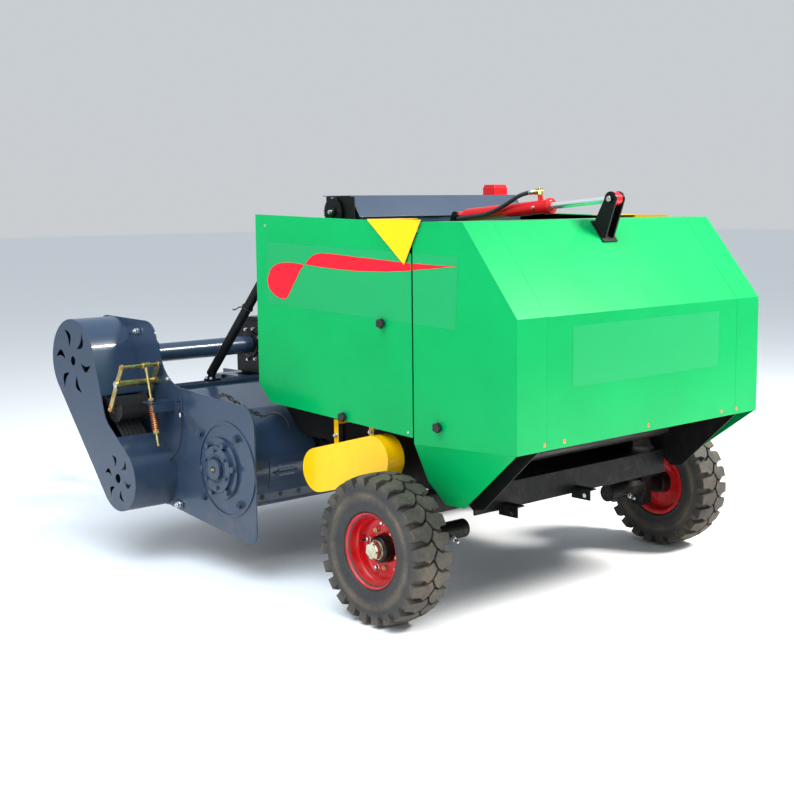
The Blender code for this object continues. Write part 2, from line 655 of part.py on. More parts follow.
def header():
    reach = HEADER_HALF - PLATE - TOUCH
    beam = box(-reach, reach, 1.365, 1.455, 0.735, 0.795)
    ribs = [box(-reach, reach, y, y + 0.012, 0.790, 0.803) for y in (1.370, 1.404, 1.438)]
    hood = sheet_strip([(1.835, 0.520), (1.795, 0.640), (1.700, 0.706), (1.560, 0.738), (1.400, 0.742)],
                       -reach, reach, -0.005)
    back = [(1.380, 0.782), (1.280, 0.782), (0.990, 0.722)]
    trough_end = auger_trough(0.0)
    shell = sheet_strip(back + trough_end, -reach, reach, 0.005)
    lip = box(-reach, reach, trough_end[-1][0] - 0.004, trough_end[-1][0] + 0.030,
              trough_end[-1][1] - 0.006, trough_end[-1][1] + 0.004)
    web_y = AUGER_AXIS[0] - 0.163
    angle = box(-reach, reach, web_y, web_y + 0.045, 0.335, 0.341)
    web = box(-reach, reach, web_y, web_y + 0.006, 0.335, AUGER_AXIS[1] - 0.101)
    rails = [box(x - 0.030, x + 0.030, 1.440, 2.040, 0.700, 0.741) for x in (-0.220, 0.220)]
    cross = [box(-0.270, 0.270, y, y + 0.060, 0.690, 0.7415) for y in (1.700, 1.985)]
    frame = join(beam, *ribs, hood, shell, lip, angle, web, *rails, *cross)
    mouth = box(-0.560, 0.560, 0.70, 1.000, 0.430, 0.715)
    hatch = box(DOOR_X[0] + 0.020, DOOR_X[1] - 0.020, AUGER_AXIS[0] - 0.26, AUGER_AXIS[0] - 0.10,
                AUGER_AXIS[1] - 0.063, AUGER_AXIS[1] + 0.037)
    node("header_frame", cut(frame, mouth, hatch), "header_paint")

    inner = auger_trough(0.0058, math.radians(163), math.radians(208))[::2]
    door = sheet_strip(inner, *DOOR_X, 0.003)
    node("header_door", door, "header_paint", ((DOOR_X[0] + DOOR_X[1]) / 2, inner[0][0], inner[0][1]))


def side_outline(upright):
    """Header side plate in (y, z); the left one carries the belt drive's upright."""
    low = [(0.757, 0.376), (0.757, 0.225)] + arc((0.815, 0.225), 0.058, math.pi, 1.42 * math.pi, 6)
    front = [(1.435, 0.245), (1.700, 0.235), (1.800, 0.300), (1.835, 0.520)]
    top = [(1.318, 0.802), (0.877, 0.771)] + arc((0.850, 0.680), 0.091, 0.5 * math.pi, 0.98 * math.pi, 6)
    if not upright:
        return low + front + [(1.800, 0.640), (1.600, 0.802)] + top
    column = [(2.010, 0.820)] + arc((1.945, 1.020), 0.078, 0.0, 0.5 * math.pi, 6)
    column += arc((1.600, 1.000), 0.090, 0.5 * math.pi, 0.98 * math.pi, 6)
    column += arc((1.300, 0.990), 0.190, 0.0, -0.46 * math.pi, 8)
    return low + front + column + top[1:]


def bearing_stack(axis, radius):
    """Left bolted flange bearing on the outside of a header side plate."""
    x = -HEADER_HALF
    return [rod_x(axis, radius, x - 0.012, x + 0.002, 24), rod_x(axis, radius * 0.75, x - 0.026, x, 20),
            rod_x(axis, radius * 0.33, x - BEARING_DEPTH, x, 16)]


def side_plate(upright):
    x = -HEADER_HALF
    base = prism_x(side_outline(upright), x, x + PLATE)
    ring = cut(rod_x((0.952 + 0.015, 0.476), 0.212, x - 0.005, x + 0.001, 36),
               rod_x((0.952 + 0.015, 0.476), 0.199, x - 0.01, x + 0.01, 36))
    pieces = [base, ring, *bearing_stack(AUGER_AXIS, AUGER_FLANGE_RADIUS)]
    if upright:
        guide_y, guide_z = ROD_GUIDE
        pieces.append(box(x - 0.115, x + 0.002, guide_y - 0.050, guide_y + 0.030,
                          guide_z - 0.004, guide_z + 0.004))
    else:
        pieces += bearing_stack(ROTOR_AXIS, 0.085)
    holes = [rod_x(AUGER_AXIS, AUGER_STUB_RADIUS + BORE_CLEARANCE, x - 0.029, x + 0.02, 20),
             rod_x(ROTOR_AXIS, SHAFT_RADIUS + BORE_CLEARANCE, x - 0.05 if upright else x - 0.030,
                   x + 0.02, 20)]
    if upright:
        holes.append(rod_x(SHAFT_AXIS, SHAFT_RADIUS + BORE_CLEARANCE, x - 0.05, x + 0.05, 20))
        guide = box(-1.052, -1.018, ROD_GUIDE[0] - 0.016, ROD_GUIDE[0] + 0.010,
                    ROD_GUIDE[1] - 0.02, ROD_GUIDE[1] + 0.02)
        holes.append(guide)
    return cut(join(*pieces), *holes)


def header_sides():
    node("header_side_left", side_plate(True), "header_paint")
    node("header_side_right", mirrored(side_plate(False)), "header_paint")

    def brace():
        wall = COVER_FRONT_Y - 0.045 + SHEET + 2 * TOUCH
        x = -BRACE_X
        start = Vector((x, wall + 0.024, 1.345))
        end = Vector((x, 1.440, 0.834))
        return join(strut(start, end, 0.022, 12),
                    box(x - 0.020, x + 0.030, wall, wall + 0.008, 1.290, 1.400),
                    box(x - 0.008, x + 0.008, wall + 0.004, wall + 0.034, 1.320, 1.380),
                    box(x - 0.008, x + 0.008, 1.415, 1.455, 0.808, 0.845),
                    box(x - 0.030, x + 0.030, 1.405, 1.456, 0.8033, 0.811))
    both_sides("header_brace", brace, "black_paint")


def spinning_parts():
    reach = HEADER_HALF - PLATE - MOVING_GAP
    plates = HEADER_HALF + 0.002
    drum = rod_x(ROTOR_AXIS, 0.085, -reach, reach, 24)
    shaft = rod_x(ROTOR_AXIS, SHAFT_RADIUS, BELT_INNER_X - BELT_WIDTH + 0.010, plates, 20)
    blades = []
    rows, columns = 4, 10
    for row in range(rows):
        for column in range(columns):
            angle = 2 * math.pi * row / rows + 0.35 * column
            x = -reach + 0.045 + (2 * reach - 0.09) * (column + row / rows) / columns
            x = min(x, reach - 0.04)
            out = Vector((0.0, math.cos(angle), math.sin(angle)))
            side = Vector((0.0, -math.sin(angle), math.cos(angle)))
            base = Vector((x, *ROTOR_AXIS)) + out * 0.070
            tip = Vector((x, *ROTOR_AXIS)) + out * ROTOR_RADIUS
            wide, thick = side * 0.022, Vector((0.006, 0.0, 0.0))
            blades.append(loft([[p - wide - thick, p + wide - thick, p + wide + thick, p - wide + thick]
                                for p in (base, tip)]))
    origin = (0.0, *ROTOR_AXIS)
    node("flail_rotor", join(drum, shaft, *blades), "header_paint", origin)

    inner_x = BELT_INNER_X - 0.004
    outer_x = BELT_INNER_X - BELT_WIDTH + 0.004
    for name, axis, radius in (("rotor_pulley", ROTOR_AXIS, LOWER_PULLEY_RADIUS),
                               ("drive_pulley", SHAFT_AXIS, UPPER_PULLEY_RADIUS)):
        wheel = rod_x(axis, radius, outer_x, inner_x, 36)
        wheel = cut(wheel, rod_x(axis, SHAFT_RADIUS + 0.0005, outer_x - 0.02, inner_x + 0.02, 20))
        node(name, wheel, "header_paint", ((outer_x + inner_x) / 2, *axis))
    spin = rod_x(SHAFT_AXIS, SHAFT_RADIUS, outer_x - 0.008, -HEADER_HALF + PLATE + 0.030, 20)
    node("drive_shaft", spin, "zinc", (-HEADER_HALF, *SHAFT_AXIS))

    core = rod_x(AUGER_AXIS, 0.050, -reach, reach, 20)
    stub = rod_x(AUGER_AXIS, AUGER_STUB_RADIUS, -plates + 0.0035, plates - 0.0035, 16)
    flights = [flight(-reach + 0.02, -0.10, 1), flight(0.10, reach - 0.02, -1)]
    paddles = [box(-0.14, 0.14, AUGER_AXIS[0] - 0.004, AUGER_AXIS[0] + 0.004, AUGER_AXIS[1] + lo,
                   AUGER_AXIS[1] + hi) for lo, hi in ((0.040, 0.150), (-0.150, -0.040))]
    node("auger", join(core, stub, *flights, *paddles), "header_paint", (0.0, *AUGER_AXIS))

    stub_shaft = rod_y((0.0, SHAFT_AXIS[1]), 0.0175, GEARBOX_Y[1] + 0.0325, GEARBOX_Y[1] + 0.120)
    node("pto_stub", stub_shaft, "zinc", (0.0, GEARBOX_Y[1], SHAFT_AXIS[1]))


def rod_y(centre, radius, y0, y1, count=20):
    return prism_y(circle(centre, radius, count), y0, y1)


def flight(x0, x1, hand, steps=12, pitch=0.30):
    """A screw flight: a thin helical strip round the auger's tube."""
    turns = abs(x1 - x0) / pitch
    count = int(steps * turns)
    rings = []
    for i in range(count + 1):
        a = 0.07 + hand * 2 * math.pi * turns * i / count
        x = x0 + (x1 - x0) * i / count
        out = Vector((0.0, math.cos(a), math.sin(a)))
        centre = Vector((x, *AUGER_AXIS))
        thick = Vector((0.003, 0.0, 0.0))
        low, high = out * 0.044, out * AUGER_RADIUS
        rings.append([centre + low - thick, centre + high - thick, centre + high + thick,
                      centre + low + thick])
    return loft(rings)


# Belt drive on the left of the header.

def guard_circles():
    return [(*SHAFT_AXIS, GUARD_UPPER_RADIUS, 1), (*GUARD_BITE, GUARD_BITE_RADIUS, -1),
            (*ROTOR_AXIS, GUARD_LOWER_RADIUS, 1)]


def belt_circles():
    return [(*SHAFT_AXIS, UPPER_PULLEY_RADIUS + BELT_GAP, 1),
            (*IDLER_AXIS, IDLER_RADIUS + BELT_GAP + BELT_THICKNESS, -1),
            (*ROTOR_AXIS, LOWER_PULLEY_RADIUS + BELT_GAP, 1)]


def belt_drive():
    inner_x = -HEADER_HALF - TOUCH
    shell = prism_x(wrap(guard_circles()), GUARD_OUTER_X, inner_x)
    hollow = prism_x(wrap(guard_circles(), -SHEET), GUARD_OUTER_X + SHEET, inner_x + 0.01)
    bite = rod_x(GUARD_BITE, GUARD_BITE_RADIUS + 0.025, GUARD_OUTER_X + SHEET + 0.001, inner_x + 0.02, 32)
    guard = cut(shell, hollow, bite)
    node("belt_guard", guard, "header_paint")

    outer = prism_x(wrap(belt_circles(), BELT_THICKNESS), BELT_INNER_X - BELT_WIDTH, BELT_INNER_X)
    inner = prism_x(wrap(belt_circles()), BELT_INNER_X - BELT_WIDTH - 0.01, BELT_INNER_X + 0.01)
    node("drive_belts", cut(outer, inner), "belt_rubber")

    rim = IDLER_RADIUS + 0.008
    axle = 0.0080
    edge = BELT_INNER_X + 0.004
    far = BELT_INNER_X - BELT_WIDTH - 0.004
    profile = [(far - 0.004, rim), (far, rim), (far, IDLER_RADIUS), (edge, IDLER_RADIUS), (edge, rim),
               (edge + 0.004, rim), (edge + 0.004, axle + BORE_CLEARANCE),
               (far - 0.004, axle + BORE_CLEARANCE)]
    roller = turned_x(profile[::-1], IDLER_AXIS, 28)
    node("idler_roller", roller, "belt_rubber", ((edge + far) / 2, *IDLER_AXIS))

    pivot, top = TENSION_PIVOT, TENSION_TOP
    arms = []
    for x in (GUARD_OUTER_X + 0.008, -HEADER_HALF - 0.024):
        arms.append(limb(top, pivot, x))
        arms.append(limb(pivot, IDLER_AXIS, x))
    outer_x = GUARD_OUTER_X + 0.001
    axle_rod = rod_x(IDLER_AXIS, axle, outer_x, -HEADER_HALF - 0.019, 12)
    tube = rod_x(pivot, 0.016, outer_x, -HEADER_HALF - TOUCH, 16)
    bar_radius = 0.009
    bar = rod_x(top, bar_radius, outer_x, -HEADER_HALF - 0.012, 12)
    node("tensioner_arm", join(*arms, axle_rod, tube, bar), "zinc")

    guide_y, guide_z = ROD_GUIDE
    x = -1.035
    bar_middle = Vector((x, *TENSION_TOP))
    middle = Vector((x, guide_y, guide_z))
    run = (middle - bar_middle).normalized()
    start = bar_middle + run * (bar_radius + TOUCH)
    rod = strut(start, start + run * 0.370, 0.0055, 10)
    spring = strut(middle + run * 0.010, middle + run * 0.125, 0.0150, 14)
    node("tensioner_rod", join(rod, spring), "zinc")


def limb(start, end, x, half=0.014):
    """One flat link of the tensioner between two (y, z) points, with rounded ends."""
    angle = math.atan2(end[1] - start[1], end[0] - start[0])
    outline = arc(end, half, angle - math.pi / 2, angle + math.pi / 2, 6)
    outline += arc(start, half, angle + math.pi / 2, angle + 1.5 * math.pi, 6)
    return prism_x(outline, x, x + 0.006)


def gearbox():
    y0, y1 = GEARBOX_Y
    case = box(-GEARBOX_X, GEARBOX_X, y0, y1, *GEARBOX_Z)
    flange = box(-GEARBOX_X - 0.018, -GEARBOX_X + 0.001, y0 + 0.010, y1 + 0.010, GEARBOX_Z[0] + 0.010, 1.020)
    snout = rod_y((0.0, SHAFT_AXIS[1]), 0.055, y1 - 0.001, y1 + 0.032)
    node("gearbox", join(case, flange, snout), "black_paint")
    start = -GEARBOX_X - 0.018 - TOUCH
    tube = rod_x(SHAFT_AXIS, TUBE_RADIUS, -HEADER_HALF + PLATE + TOUCH, start, 28)
    bore = rod_x(SHAFT_AXIS, TUBE_RADIUS - 0.005, -HEADER_HALF - 0.01, start + 0.01, 28)
    node("drive_shaft_tube", cut(tube, bore), "header_paint")


def chain_guard():
    """Yellow guard over the left chamber chain, round at both ends."""
    run = [front - rear for front, rear in zip(CHAIN_GUARD_FRONT, CHAIN_GUARD_REAR)]
    lean = math.atan2(run[1], run[0])

    def capsule(radius):
        front = arc(CHAIN_GUARD_FRONT, radius, lean - math.pi / 2, lean + math.pi / 2, 14)
        return front + arc(CHAIN_GUARD_REAR, radius, lean + math.pi / 2, lean + 1.5 * math.pi, 14)

    outer_x, inner_x = CHAIN_GUARD_X
    shell = prism_x(capsule(CHAIN_GUARD_RADIUS), outer_x, inner_x)
    shell = cut(shell, prism_x(capsule(CHAIN_GUARD_RADIUS - SHEET), outer_x + SHEET, inner_x + 0.01))
    tabs, arms = [], []
    for y in CHAIN_GUARD_TABS:
        middle_z = CHAIN_GUARD_REAR[1] + (y - CHAIN_GUARD_REAR[0]) * run[1] / run[0]
        tabs.append(box(inner_x - 0.004, inner_x, y - 0.014, y + 0.014, middle_z + CHAIN_GUARD_RADIUS - 0.010,
                        0.720))
        arms.append(box(inner_x - 0.004, -CHAMBER_HALF - TOUCH, y - 0.008, y + 0.008, 0.700, 0.716))
    node("chain_guard", join(shell, *tabs, *arms), "yellow_paint")


# Drawbar, hitch and parking jack.

def drawbar():
    low, high = DRAWBAR_Z
    wall = 0.006
    end = HITCH_FRONT_Y - 0.150
    drop_y = 2.045
    main = box(-DRAWBAR_HALF, DRAWBAR_HALF, drop_y, end, low, high)
    main = cut(main, box(-DRAWBAR_HALF + wall, DRAWBAR_HALF - wall, drop_y + 0.05, end + 0.01,
                         low + wall, high - wall))
    cheeks = [box(x, x + 0.010, drop_y + TOUCH, 2.200, low, 0.7415) for x in (-0.110, 0.100)]
    back = box(-0.260, 0.260, drop_y + TOUCH, drop_y + 0.012, 0.600, 0.7415)
    web = box(-0.110, 0.110, drop_y + TOUCH, drop_y + 0.012, low, 0.610)
    sill = box(-0.110, 0.110, drop_y + TOUCH, 2.200, low, low + 0.008)
    bracket = box(JACK_AXIS[0] + 0.034, -DRAWBAR_HALF + 0.001, JACK_AXIS[1] - 0.030, JACK_AXIS[1] + 0.030,
                  low + 0.030, low + 0.040)
    bracket_top = box(JACK_AXIS[0] + 0.034, -DRAWBAR_HALF + 0.001, JACK_AXIS[1] - 0.030,
                      JACK_AXIS[1] + 0.030, high - 0.030, high - 0.020)
    node("drawbar", join(main, *cheeks, back, web, sill, bracket, bracket_top), "header_paint")

    middle = (low + high) / 2
    tongue = box(-0.032, 0.032, end - 0.100, HITCH_FRONT_Y - 0.045, middle - 0.014, middle + 0.014)
    nose = prism_z(circle((0.0, HITCH_FRONT_Y - 0.048), 0.048, 28), middle - 0.018, middle + 0.018)
    eye = prism_z(circle((0.0, HITCH_FRONT_Y - 0.048), 0.020, 20), middle - 0.05, middle + 0.05)
    block = box(-DRAWBAR_HALF + wall + TOUCH, DRAWBAR_HALF - wall - TOUCH, end - 0.090, end - 0.002,
                low + wall + TOUCH, high - wall - TOUCH)
    node("hitch_eye", cut(join(tongue, nose, block), eye), "black_paint")

    x, y = JACK_AXIS
    leg_radius = 0.0250
    outer, bore = 0.032, leg_radius + BORE_CLEARANCE
    housing = prism_z(circle(JACK_AXIS, outer, 20), JACK_BOTTOM_Z, JACK_TOP_Z)
    housing = cut(housing, prism_z(circle(JACK_AXIS, bore, 20), JACK_BOTTOM_Z - 0.01, JACK_TOP_Z - 0.008))
    pad = box(x + 0.0285, x + 0.0335, y - 0.030, y + 0.030, low + 0.010, high - 0.010)
    crank = [strut((x, y, JACK_TOP_Z - 0.002), (x, y, JACK_TOP_Z + 0.010), 0.010)]
    node("jack_housing", cut(join(housing, pad, *crank),
                             prism_z(circle(JACK_AXIS, bore, 20), JACK_BOTTOM_Z - 0.01, JACK_TOP_Z - 0.008)),
         "black_paint")
    leg = prism_z(circle(JACK_AXIS, leg_radius, 20), 0.006, 0.520)
    foot = prism_z(circle(JACK_AXIS, 0.075, 28), 0.0, 0.008)
    node("jack_leg", join(leg, foot), "zinc", (x, y, 0.0))


for stale in list(bpy.data.objects):
    bpy.data.objects.remove(stale)
FRAME = bpy.data.objects.new("frame_origin", None)
FRAME.location = SHIFT
bpy.context.scene.collection.objects.link(FRAME)

wheels()
axle()
chamber()
covers()
tailgate()
cylinder()
header()
header_sides()
spinning_parts()
belt_drive()
gearbox()
chain_guard()
drawbar()
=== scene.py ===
"""Finished looks for a trailed round baler, built around its fixed frame.

Every point is given from the axle line (y = 0), the machine's middle (x = 0) and the ground (z = 0).
"""

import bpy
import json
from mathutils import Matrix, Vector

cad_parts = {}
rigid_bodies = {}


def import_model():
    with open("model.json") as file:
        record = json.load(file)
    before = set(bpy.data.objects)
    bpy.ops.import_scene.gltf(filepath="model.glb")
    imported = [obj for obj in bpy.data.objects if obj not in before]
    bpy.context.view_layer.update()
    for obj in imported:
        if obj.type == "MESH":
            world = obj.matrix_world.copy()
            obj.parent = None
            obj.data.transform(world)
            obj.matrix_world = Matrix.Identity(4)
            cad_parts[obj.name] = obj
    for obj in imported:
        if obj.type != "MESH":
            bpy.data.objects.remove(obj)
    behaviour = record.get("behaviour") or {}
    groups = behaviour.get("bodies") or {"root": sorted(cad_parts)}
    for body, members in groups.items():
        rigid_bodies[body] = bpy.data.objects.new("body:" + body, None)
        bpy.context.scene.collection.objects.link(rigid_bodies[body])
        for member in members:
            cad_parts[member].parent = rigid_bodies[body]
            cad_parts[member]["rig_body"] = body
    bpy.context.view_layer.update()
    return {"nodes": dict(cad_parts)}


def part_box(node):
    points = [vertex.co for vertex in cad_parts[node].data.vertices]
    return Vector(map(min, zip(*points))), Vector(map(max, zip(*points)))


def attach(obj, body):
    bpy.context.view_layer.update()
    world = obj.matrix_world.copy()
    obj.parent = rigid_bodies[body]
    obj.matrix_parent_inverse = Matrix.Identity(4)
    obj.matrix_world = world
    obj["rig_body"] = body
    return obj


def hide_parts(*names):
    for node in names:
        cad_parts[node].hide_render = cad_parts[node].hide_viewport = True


bl_info = {
    "name": "Round Baler Looks",
    "version": (1, 0, 0),
    "blender": (4, 5, 0),
    "location": "3D View > Sidebar > Baler",
    "description": "Builds the finished surfaces of a trailed round baler around its fixed frame",
    "category": "Object",
}

import json
import math

import bmesh
import bpy
from bpy.props import FloatProperty, FloatVectorProperty, IntProperty, PointerProperty
from mathutils import Matrix, Vector

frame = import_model()


def centre(node):
    low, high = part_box(node)
    return (low + high) / 2


def reach(node):
    """Half of a turned piece's height, which is its outer radius."""
    low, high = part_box(node)
    return (high.z - low.z) / 2


MIDDLE_X = (centre("tyre_left").x + centre("tyre_right").x) / 2
AXLE_Y = centre("tyre_left").y
ORIGIN = Vector((MIDDLE_X, AXLE_Y, 0.0))


def at(x, y, z):
    """A point of the frame, from the machine's middle, the axle line and the ground."""
    return ORIGIN + Vector((x, y, z))


def from_axle(point):
    return point - ORIGIN


LEFT = Vector((-1.0, 0.0, 0.0))
RIGHT = Vector((1.0, 0.0, 0.0))
FORWARD = Vector((0.0, 1.0, 0.0))
BACK = Vector((0.0, -1.0, 0.0))
UP = Vector((0.0, 0.0, 1.0))
DOWN = Vector((0.0, 0.0, -1.0))

# Lines and faces of the frame that the added pieces sit on.
COVER_X = from_axle(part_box("front_cover_left")[0]).x
PLATE_X = from_axle(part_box("drive_shaft_tube")[0]).x - 0.0063
GUARD_X = from_axle(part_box("belt_guard")[0]).x
REAR_FACE_Y = from_axle(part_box("tailgate_rear_panel")[0]).y
SHAFT_AXIS = from_axle(centre("drive_pulley"))
ROTOR_AXIS = from_axle(centre("rotor_pulley"))
IDLER_AXIS = from_axle(centre("idler_roller"))
AUGER_AXIS = from_axle(centre("auger"))

LIFT_FOOT = (0.480, 1.560)         # the barrel's foot pin, as (y, z)
LIFT_PIN = (-0.400, 1.630)         # the rod's eye on the tailgate
ROD_EYE_RADIUS = 0.027
HUB_NUT_HALF_FLATS = 0.0325
TUBE_RISE = 0.006                  # the clamped tube's middle over the spindle's
TAB_XS = (-0.460, -0.020)          # the drilled tabs under the rear beam
SEAM_FRONT_Y, SEAM_REAR_Y = -0.0245, -0.0355   # edges of the gap between cover and tailgate
FILM_LIFT, STRIPE_LIFT = 0.0003, 0.0006        # printed films over the paint
FILM_THICKNESS = 0.00015
ANGLE_BEHIND_AUGER = 0.163         # the drilled angle under the trough
LINK_TOP = (1.464, 0.900)          # the tensioner's cross bar, as (y, z)
IDLER_RADIUS = 0.055
BELT_GAP = 0.0015
GUARD_BITE = (1.510, 0.715)        # middle of the round bite in the belt guard's front
GUARD_BITE_RADIUS = 0.112
GUARD_SHEET = 0.003


class BalerPaint(bpy.types.PropertyGroup):
    green: FloatVectorProperty(
        name="Cover green", description="Paint of the side covers and the tailgate",
        subtype="COLOR", size=3, min=0.0, max=1.0, default=(0.0, 0.345, 0.096))
    slate: FloatVectorProperty(
        name="Header slate", description="Paint of the header, its guard and the twine box",
        subtype="COLOR", size=3, min=0.0, max=1.0, default=(0.030, 0.053, 0.092))
    yellow: FloatVectorProperty(
        name="Guard yellow", description="Paint of the chain guard and the seam plates",
        subtype="COLOR", size=3, min=0.0, max=1.0, default=(0.90, 0.52, 0.002))
    red: FloatVectorProperty(
        name="Rim red", description="Paint of the rims and the lift cylinder",
        subtype="COLOR", size=3, min=0.0, max=1.0, default=(0.60, 0.006, 0.012))
    # The frame black is set darker than the paint itself, as painted shade, so lit frame steel reads as dark
    # as steel in shade.
    black: FloatVectorProperty(
        name="Frame black", description="Paint of the chassis and the brackets",
        subtype="COLOR", size=3, min=0.0, max=1.0, default=(0.0050, 0.0048, 0.0048))
    dust: FloatVectorProperty(
        name="Dust", description="Dry earth that clings to rubber and low steel",
        subtype="COLOR", size=3, min=0.0, max=1.0, default=(0.190, 0.152, 0.104))
    peel: FloatProperty(
        name="Orange peel", description="Height of the fine ripple in sprayed enamel",
        subtype="DISTANCE", unit="LENGTH", min=0.0, max=0.002, default=0.00003)


class BalerSizes(bpy.types.PropertyGroup):
    lugs: IntProperty(
        name="Tread lugs", description="Lugs round one side of a tyre", min=12, max=40, default=24)
    tread_depth: FloatProperty(
        name="Tread depth", description="Height of the tread lugs over the carcass",
        subtype="DISTANCE", unit="LENGTH", min=0.005, max=0.04, default=0.019)
    belt_count: IntProperty(
        name="Belts", description="Belts side by side between the pulleys", min=1, max=10, default=6)
    spring_turns: IntProperty(
        name="Spring turns", description="Turns of the belt tensioner's spring", min=4, max=30, default=12)
    bolt_size: FloatProperty(
        name="Plate bolt", description="Width across the flats of the header plate's bolts",
        subtype="DISTANCE", unit="LENGTH", min=0.008, max=0.05, default=0.030)
    soft_edge: FloatProperty(
        name="Soft edge", description="Rounding left on cut plate and folded sheet",
        subtype="DISTANCE", unit="LENGTH", min=0.0002, max=0.004, default=0.0011)


class BalerStudio(bpy.types.PropertyGroup):
    lens: FloatProperty(
        name="Lens", description="Focal length on a 36 mm wide sensor", min=20.0, max=200.0, default=60.75)
    floor: FloatVectorProperty(
        name="Floor", description="Colour of the studio floor",
        subtype="COLOR", size=3, min=0.0, max=1.0, default=(0.94, 0.94, 0.94))
    key_power: FloatProperty(
        name="Key light", description="Power of the large light over the right rear",
        subtype="POWER", unit="POWER", min=0.0, max=5000.0, default=780.0)
    fill_power: FloatProperty(
        name="Fill light", description="Power of the light on the left rear",
        subtype="POWER", unit="POWER", min=0.0, max=5000.0, default=130.0)
    top_power: FloatProperty(
        name="Sky panel", description="Power of the cool panel over the left side",
        subtype="POWER", unit="POWER", min=0.0, max=5000.0, default=250.0)
    sky: FloatProperty(
        name="Sky light", description="Strength of the even light from all round",
        min=0.0, max=3.0, default=0.70)


# Materials.

class Finish:
    """A material under construction: its shader, and short ways to add and join nodes."""

    def __init__(self, name):
        self.material = bpy.data.materials.new(name)
        self.material.use_nodes = True
        self.tree = self.material.node_tree
        self.shader = self.tree.nodes["Principled BSDF"]
        self.place = self.add("ShaderNodeTexCoord").outputs["Object"]

    def add(self, kind, **inputs):
        made = self.tree.nodes.new(kind)
        for name, value in inputs.items():
            self.feed(made.inputs[name.replace("_", " ")], value)
        return made

    def feed(self, socket, value):
        if isinstance(value, bpy.types.NodeSocket):
            self.tree.links.new(value, socket)
        elif hasattr(value, "__len__") and len(value) == 3 and socket.type == "RGBA":
            socket.default_value = (*value, 1.0)
        else:
            socket.default_value = value

    def noise(self, scale, detail=3.0, roughness=0.55, stretch=None):
        source = self.place
        if stretch:
            source = self.add("ShaderNodeMapping", Vector=self.place, Scale=stretch).outputs["Vector"]
        return self.add("ShaderNodeTexNoise", Vector=source, Scale=scale, Detail=detail,
                        Roughness=roughness).outputs["Fac"]

    def remap(self, value, low, high, to_low=0.0, to_high=1.0):
        made = self.add("ShaderNodeMapRange", Value=value)
        made.inputs["From Min"].default_value = low
        made.inputs["From Max"].default_value = high
        made.inputs["To Min"].default_value = to_low
        made.inputs["To Max"].default_value = to_high
        return made.outputs["Result"]

    def maths(self, operation, first, second):
        made = self.add("ShaderNodeMath")
        made.operation = operation
        self.feed(made.inputs[0], first)
        self.feed(made.inputs[1], second)
        return made.outputs["Value"]

    def blend(self, factor, first, second):
        """Two colours mixed by a factor."""
        made = self.add("ShaderNodeMix")
        made.data_type = "RGBA"
        self.feed(made.inputs["Factor"], factor)
        self.feed(made.inputs["A"], first)
        self.feed(made.inputs["B"], second)
        return made.outputs["Result"]

    def height(self):
        """Metres over the ground."""
        return self.add("ShaderNodeSeparateXYZ", Vector=self.place).outputs["Z"]

    def bump(self, height, distance, strength=1.0, after=None):
        made = self.add("ShaderNodeBump", Height=height, Distance=distance, Strength=strength)
        if after is not None:
            self.feed(made.inputs["Normal"], after)
        return made.outputs["Normal"]

    def set(self, **inputs):
        for name, value in inputs.items():
            self.feed(self.shader.inputs[name.replace("_", " ")], value)
        return self.material


def tinted(colour, factor):
    return tuple(min(1.0, c * factor) for c in colour)


def enamel(name, colour, roughness=0.22, coat=0.6, gloss=0.35, dust_top=0.55):
    """Sprayed enamel: faint clouding, orange peel, and dust that thins out upwards."""
    paint = bpy.context.scene.baler_paint
    finish = Finish(name)
    clouds = finish.noise(2.3, 4.0)
    base = finish.blend(finish.remap(clouds, 0.3, 0.7), tinted(colour, 0.93), tinted(colour, 1.06))
    grime = finish.noise(9.0, 6.0, 0.65)
    low = finish.remap(finish.height(), dust_top, 0.0, 0.0, 0.55)
    mask = finish.maths("MULTIPLY", finish.remap(grime, 0.45, 0.72), low)
    coloured = finish.blend(mask, base, tuple(paint.dust))
    rough = finish.remap(finish.noise(3.0, 3.0), 0.25, 0.75, roughness * 0.94, roughness * 1.08)
    rough = finish.maths("ADD", rough, finish.maths("MULTIPLY", mask, 0.5))
    peel = finish.noise(260.0, 1.0)
    waves = finish.noise(2.2, 0.0)
    normal = finish.bump(peel, paint.peel, 0.5)
    normal = finish.bump(waves, 0.0016, 0.35, normal)
    return finish.set(Base_Color=coloured, Roughness=rough, Normal=normal, Coat_Weight=coat,
                      Coat_Roughness=0.05, Specular_IOR_Level=gloss)


def chassis_black(name="chassis_black", roughness=0.42):
    """Brushed-on black paint over plate, dusty low down."""
    paint = bpy.context.scene.baler_paint
    finish = Finish(name)
    # paint.black carries painted shade: it is darker than the real paint, so lit frame steel reads as shaded.
    base = finish.blend(finish.noise(14.0, 5.0), tinted(paint.black, 0.6), tinted(paint.black, 1.5))
    mask = finish.maths("MULTIPLY", finish.remap(finish.noise(17.0, 7.0, 0.7), 0.5, 0.75),
                        finish.remap(finish.height(), 0.8, 0.1, 0.0, 0.35))
    coloured = finish.blend(mask, base, tuple(paint.dust))
    rough = finish.remap(finish.noise(40.0, 4.0), 0.2, 0.8, roughness * 0.8, roughness * 1.4)
    normal = finish.bump(finish.noise(160.0, 4.0), 0.0005, 0.4)
    return finish.set(Base_Color=coloured, Roughness=rough, Normal=normal, Specular_IOR_Level=0.3)


def worn_slats():
    """Rolled steel strip: dark mill skin with long scuffs where crop has slid along it."""
    finish = Finish("worn_slats")
    scuffs = finish.noise(1.0, 5.0, 0.6, (3.0, 90.0, 90.0))
    colour = finish.blend(finish.remap(scuffs, 0.42, 0.68), (0.016, 0.014, 0.013), (0.085, 0.076, 0.068))
    rough = finish.remap(scuffs, 0.3, 0.7, 0.55, 0.32)
    normal = finish.bump(scuffs, 0.0006, 0.5)
    return finish.set(Base_Color=colour, Roughness=rough, Normal=normal, Metallic=0.45)


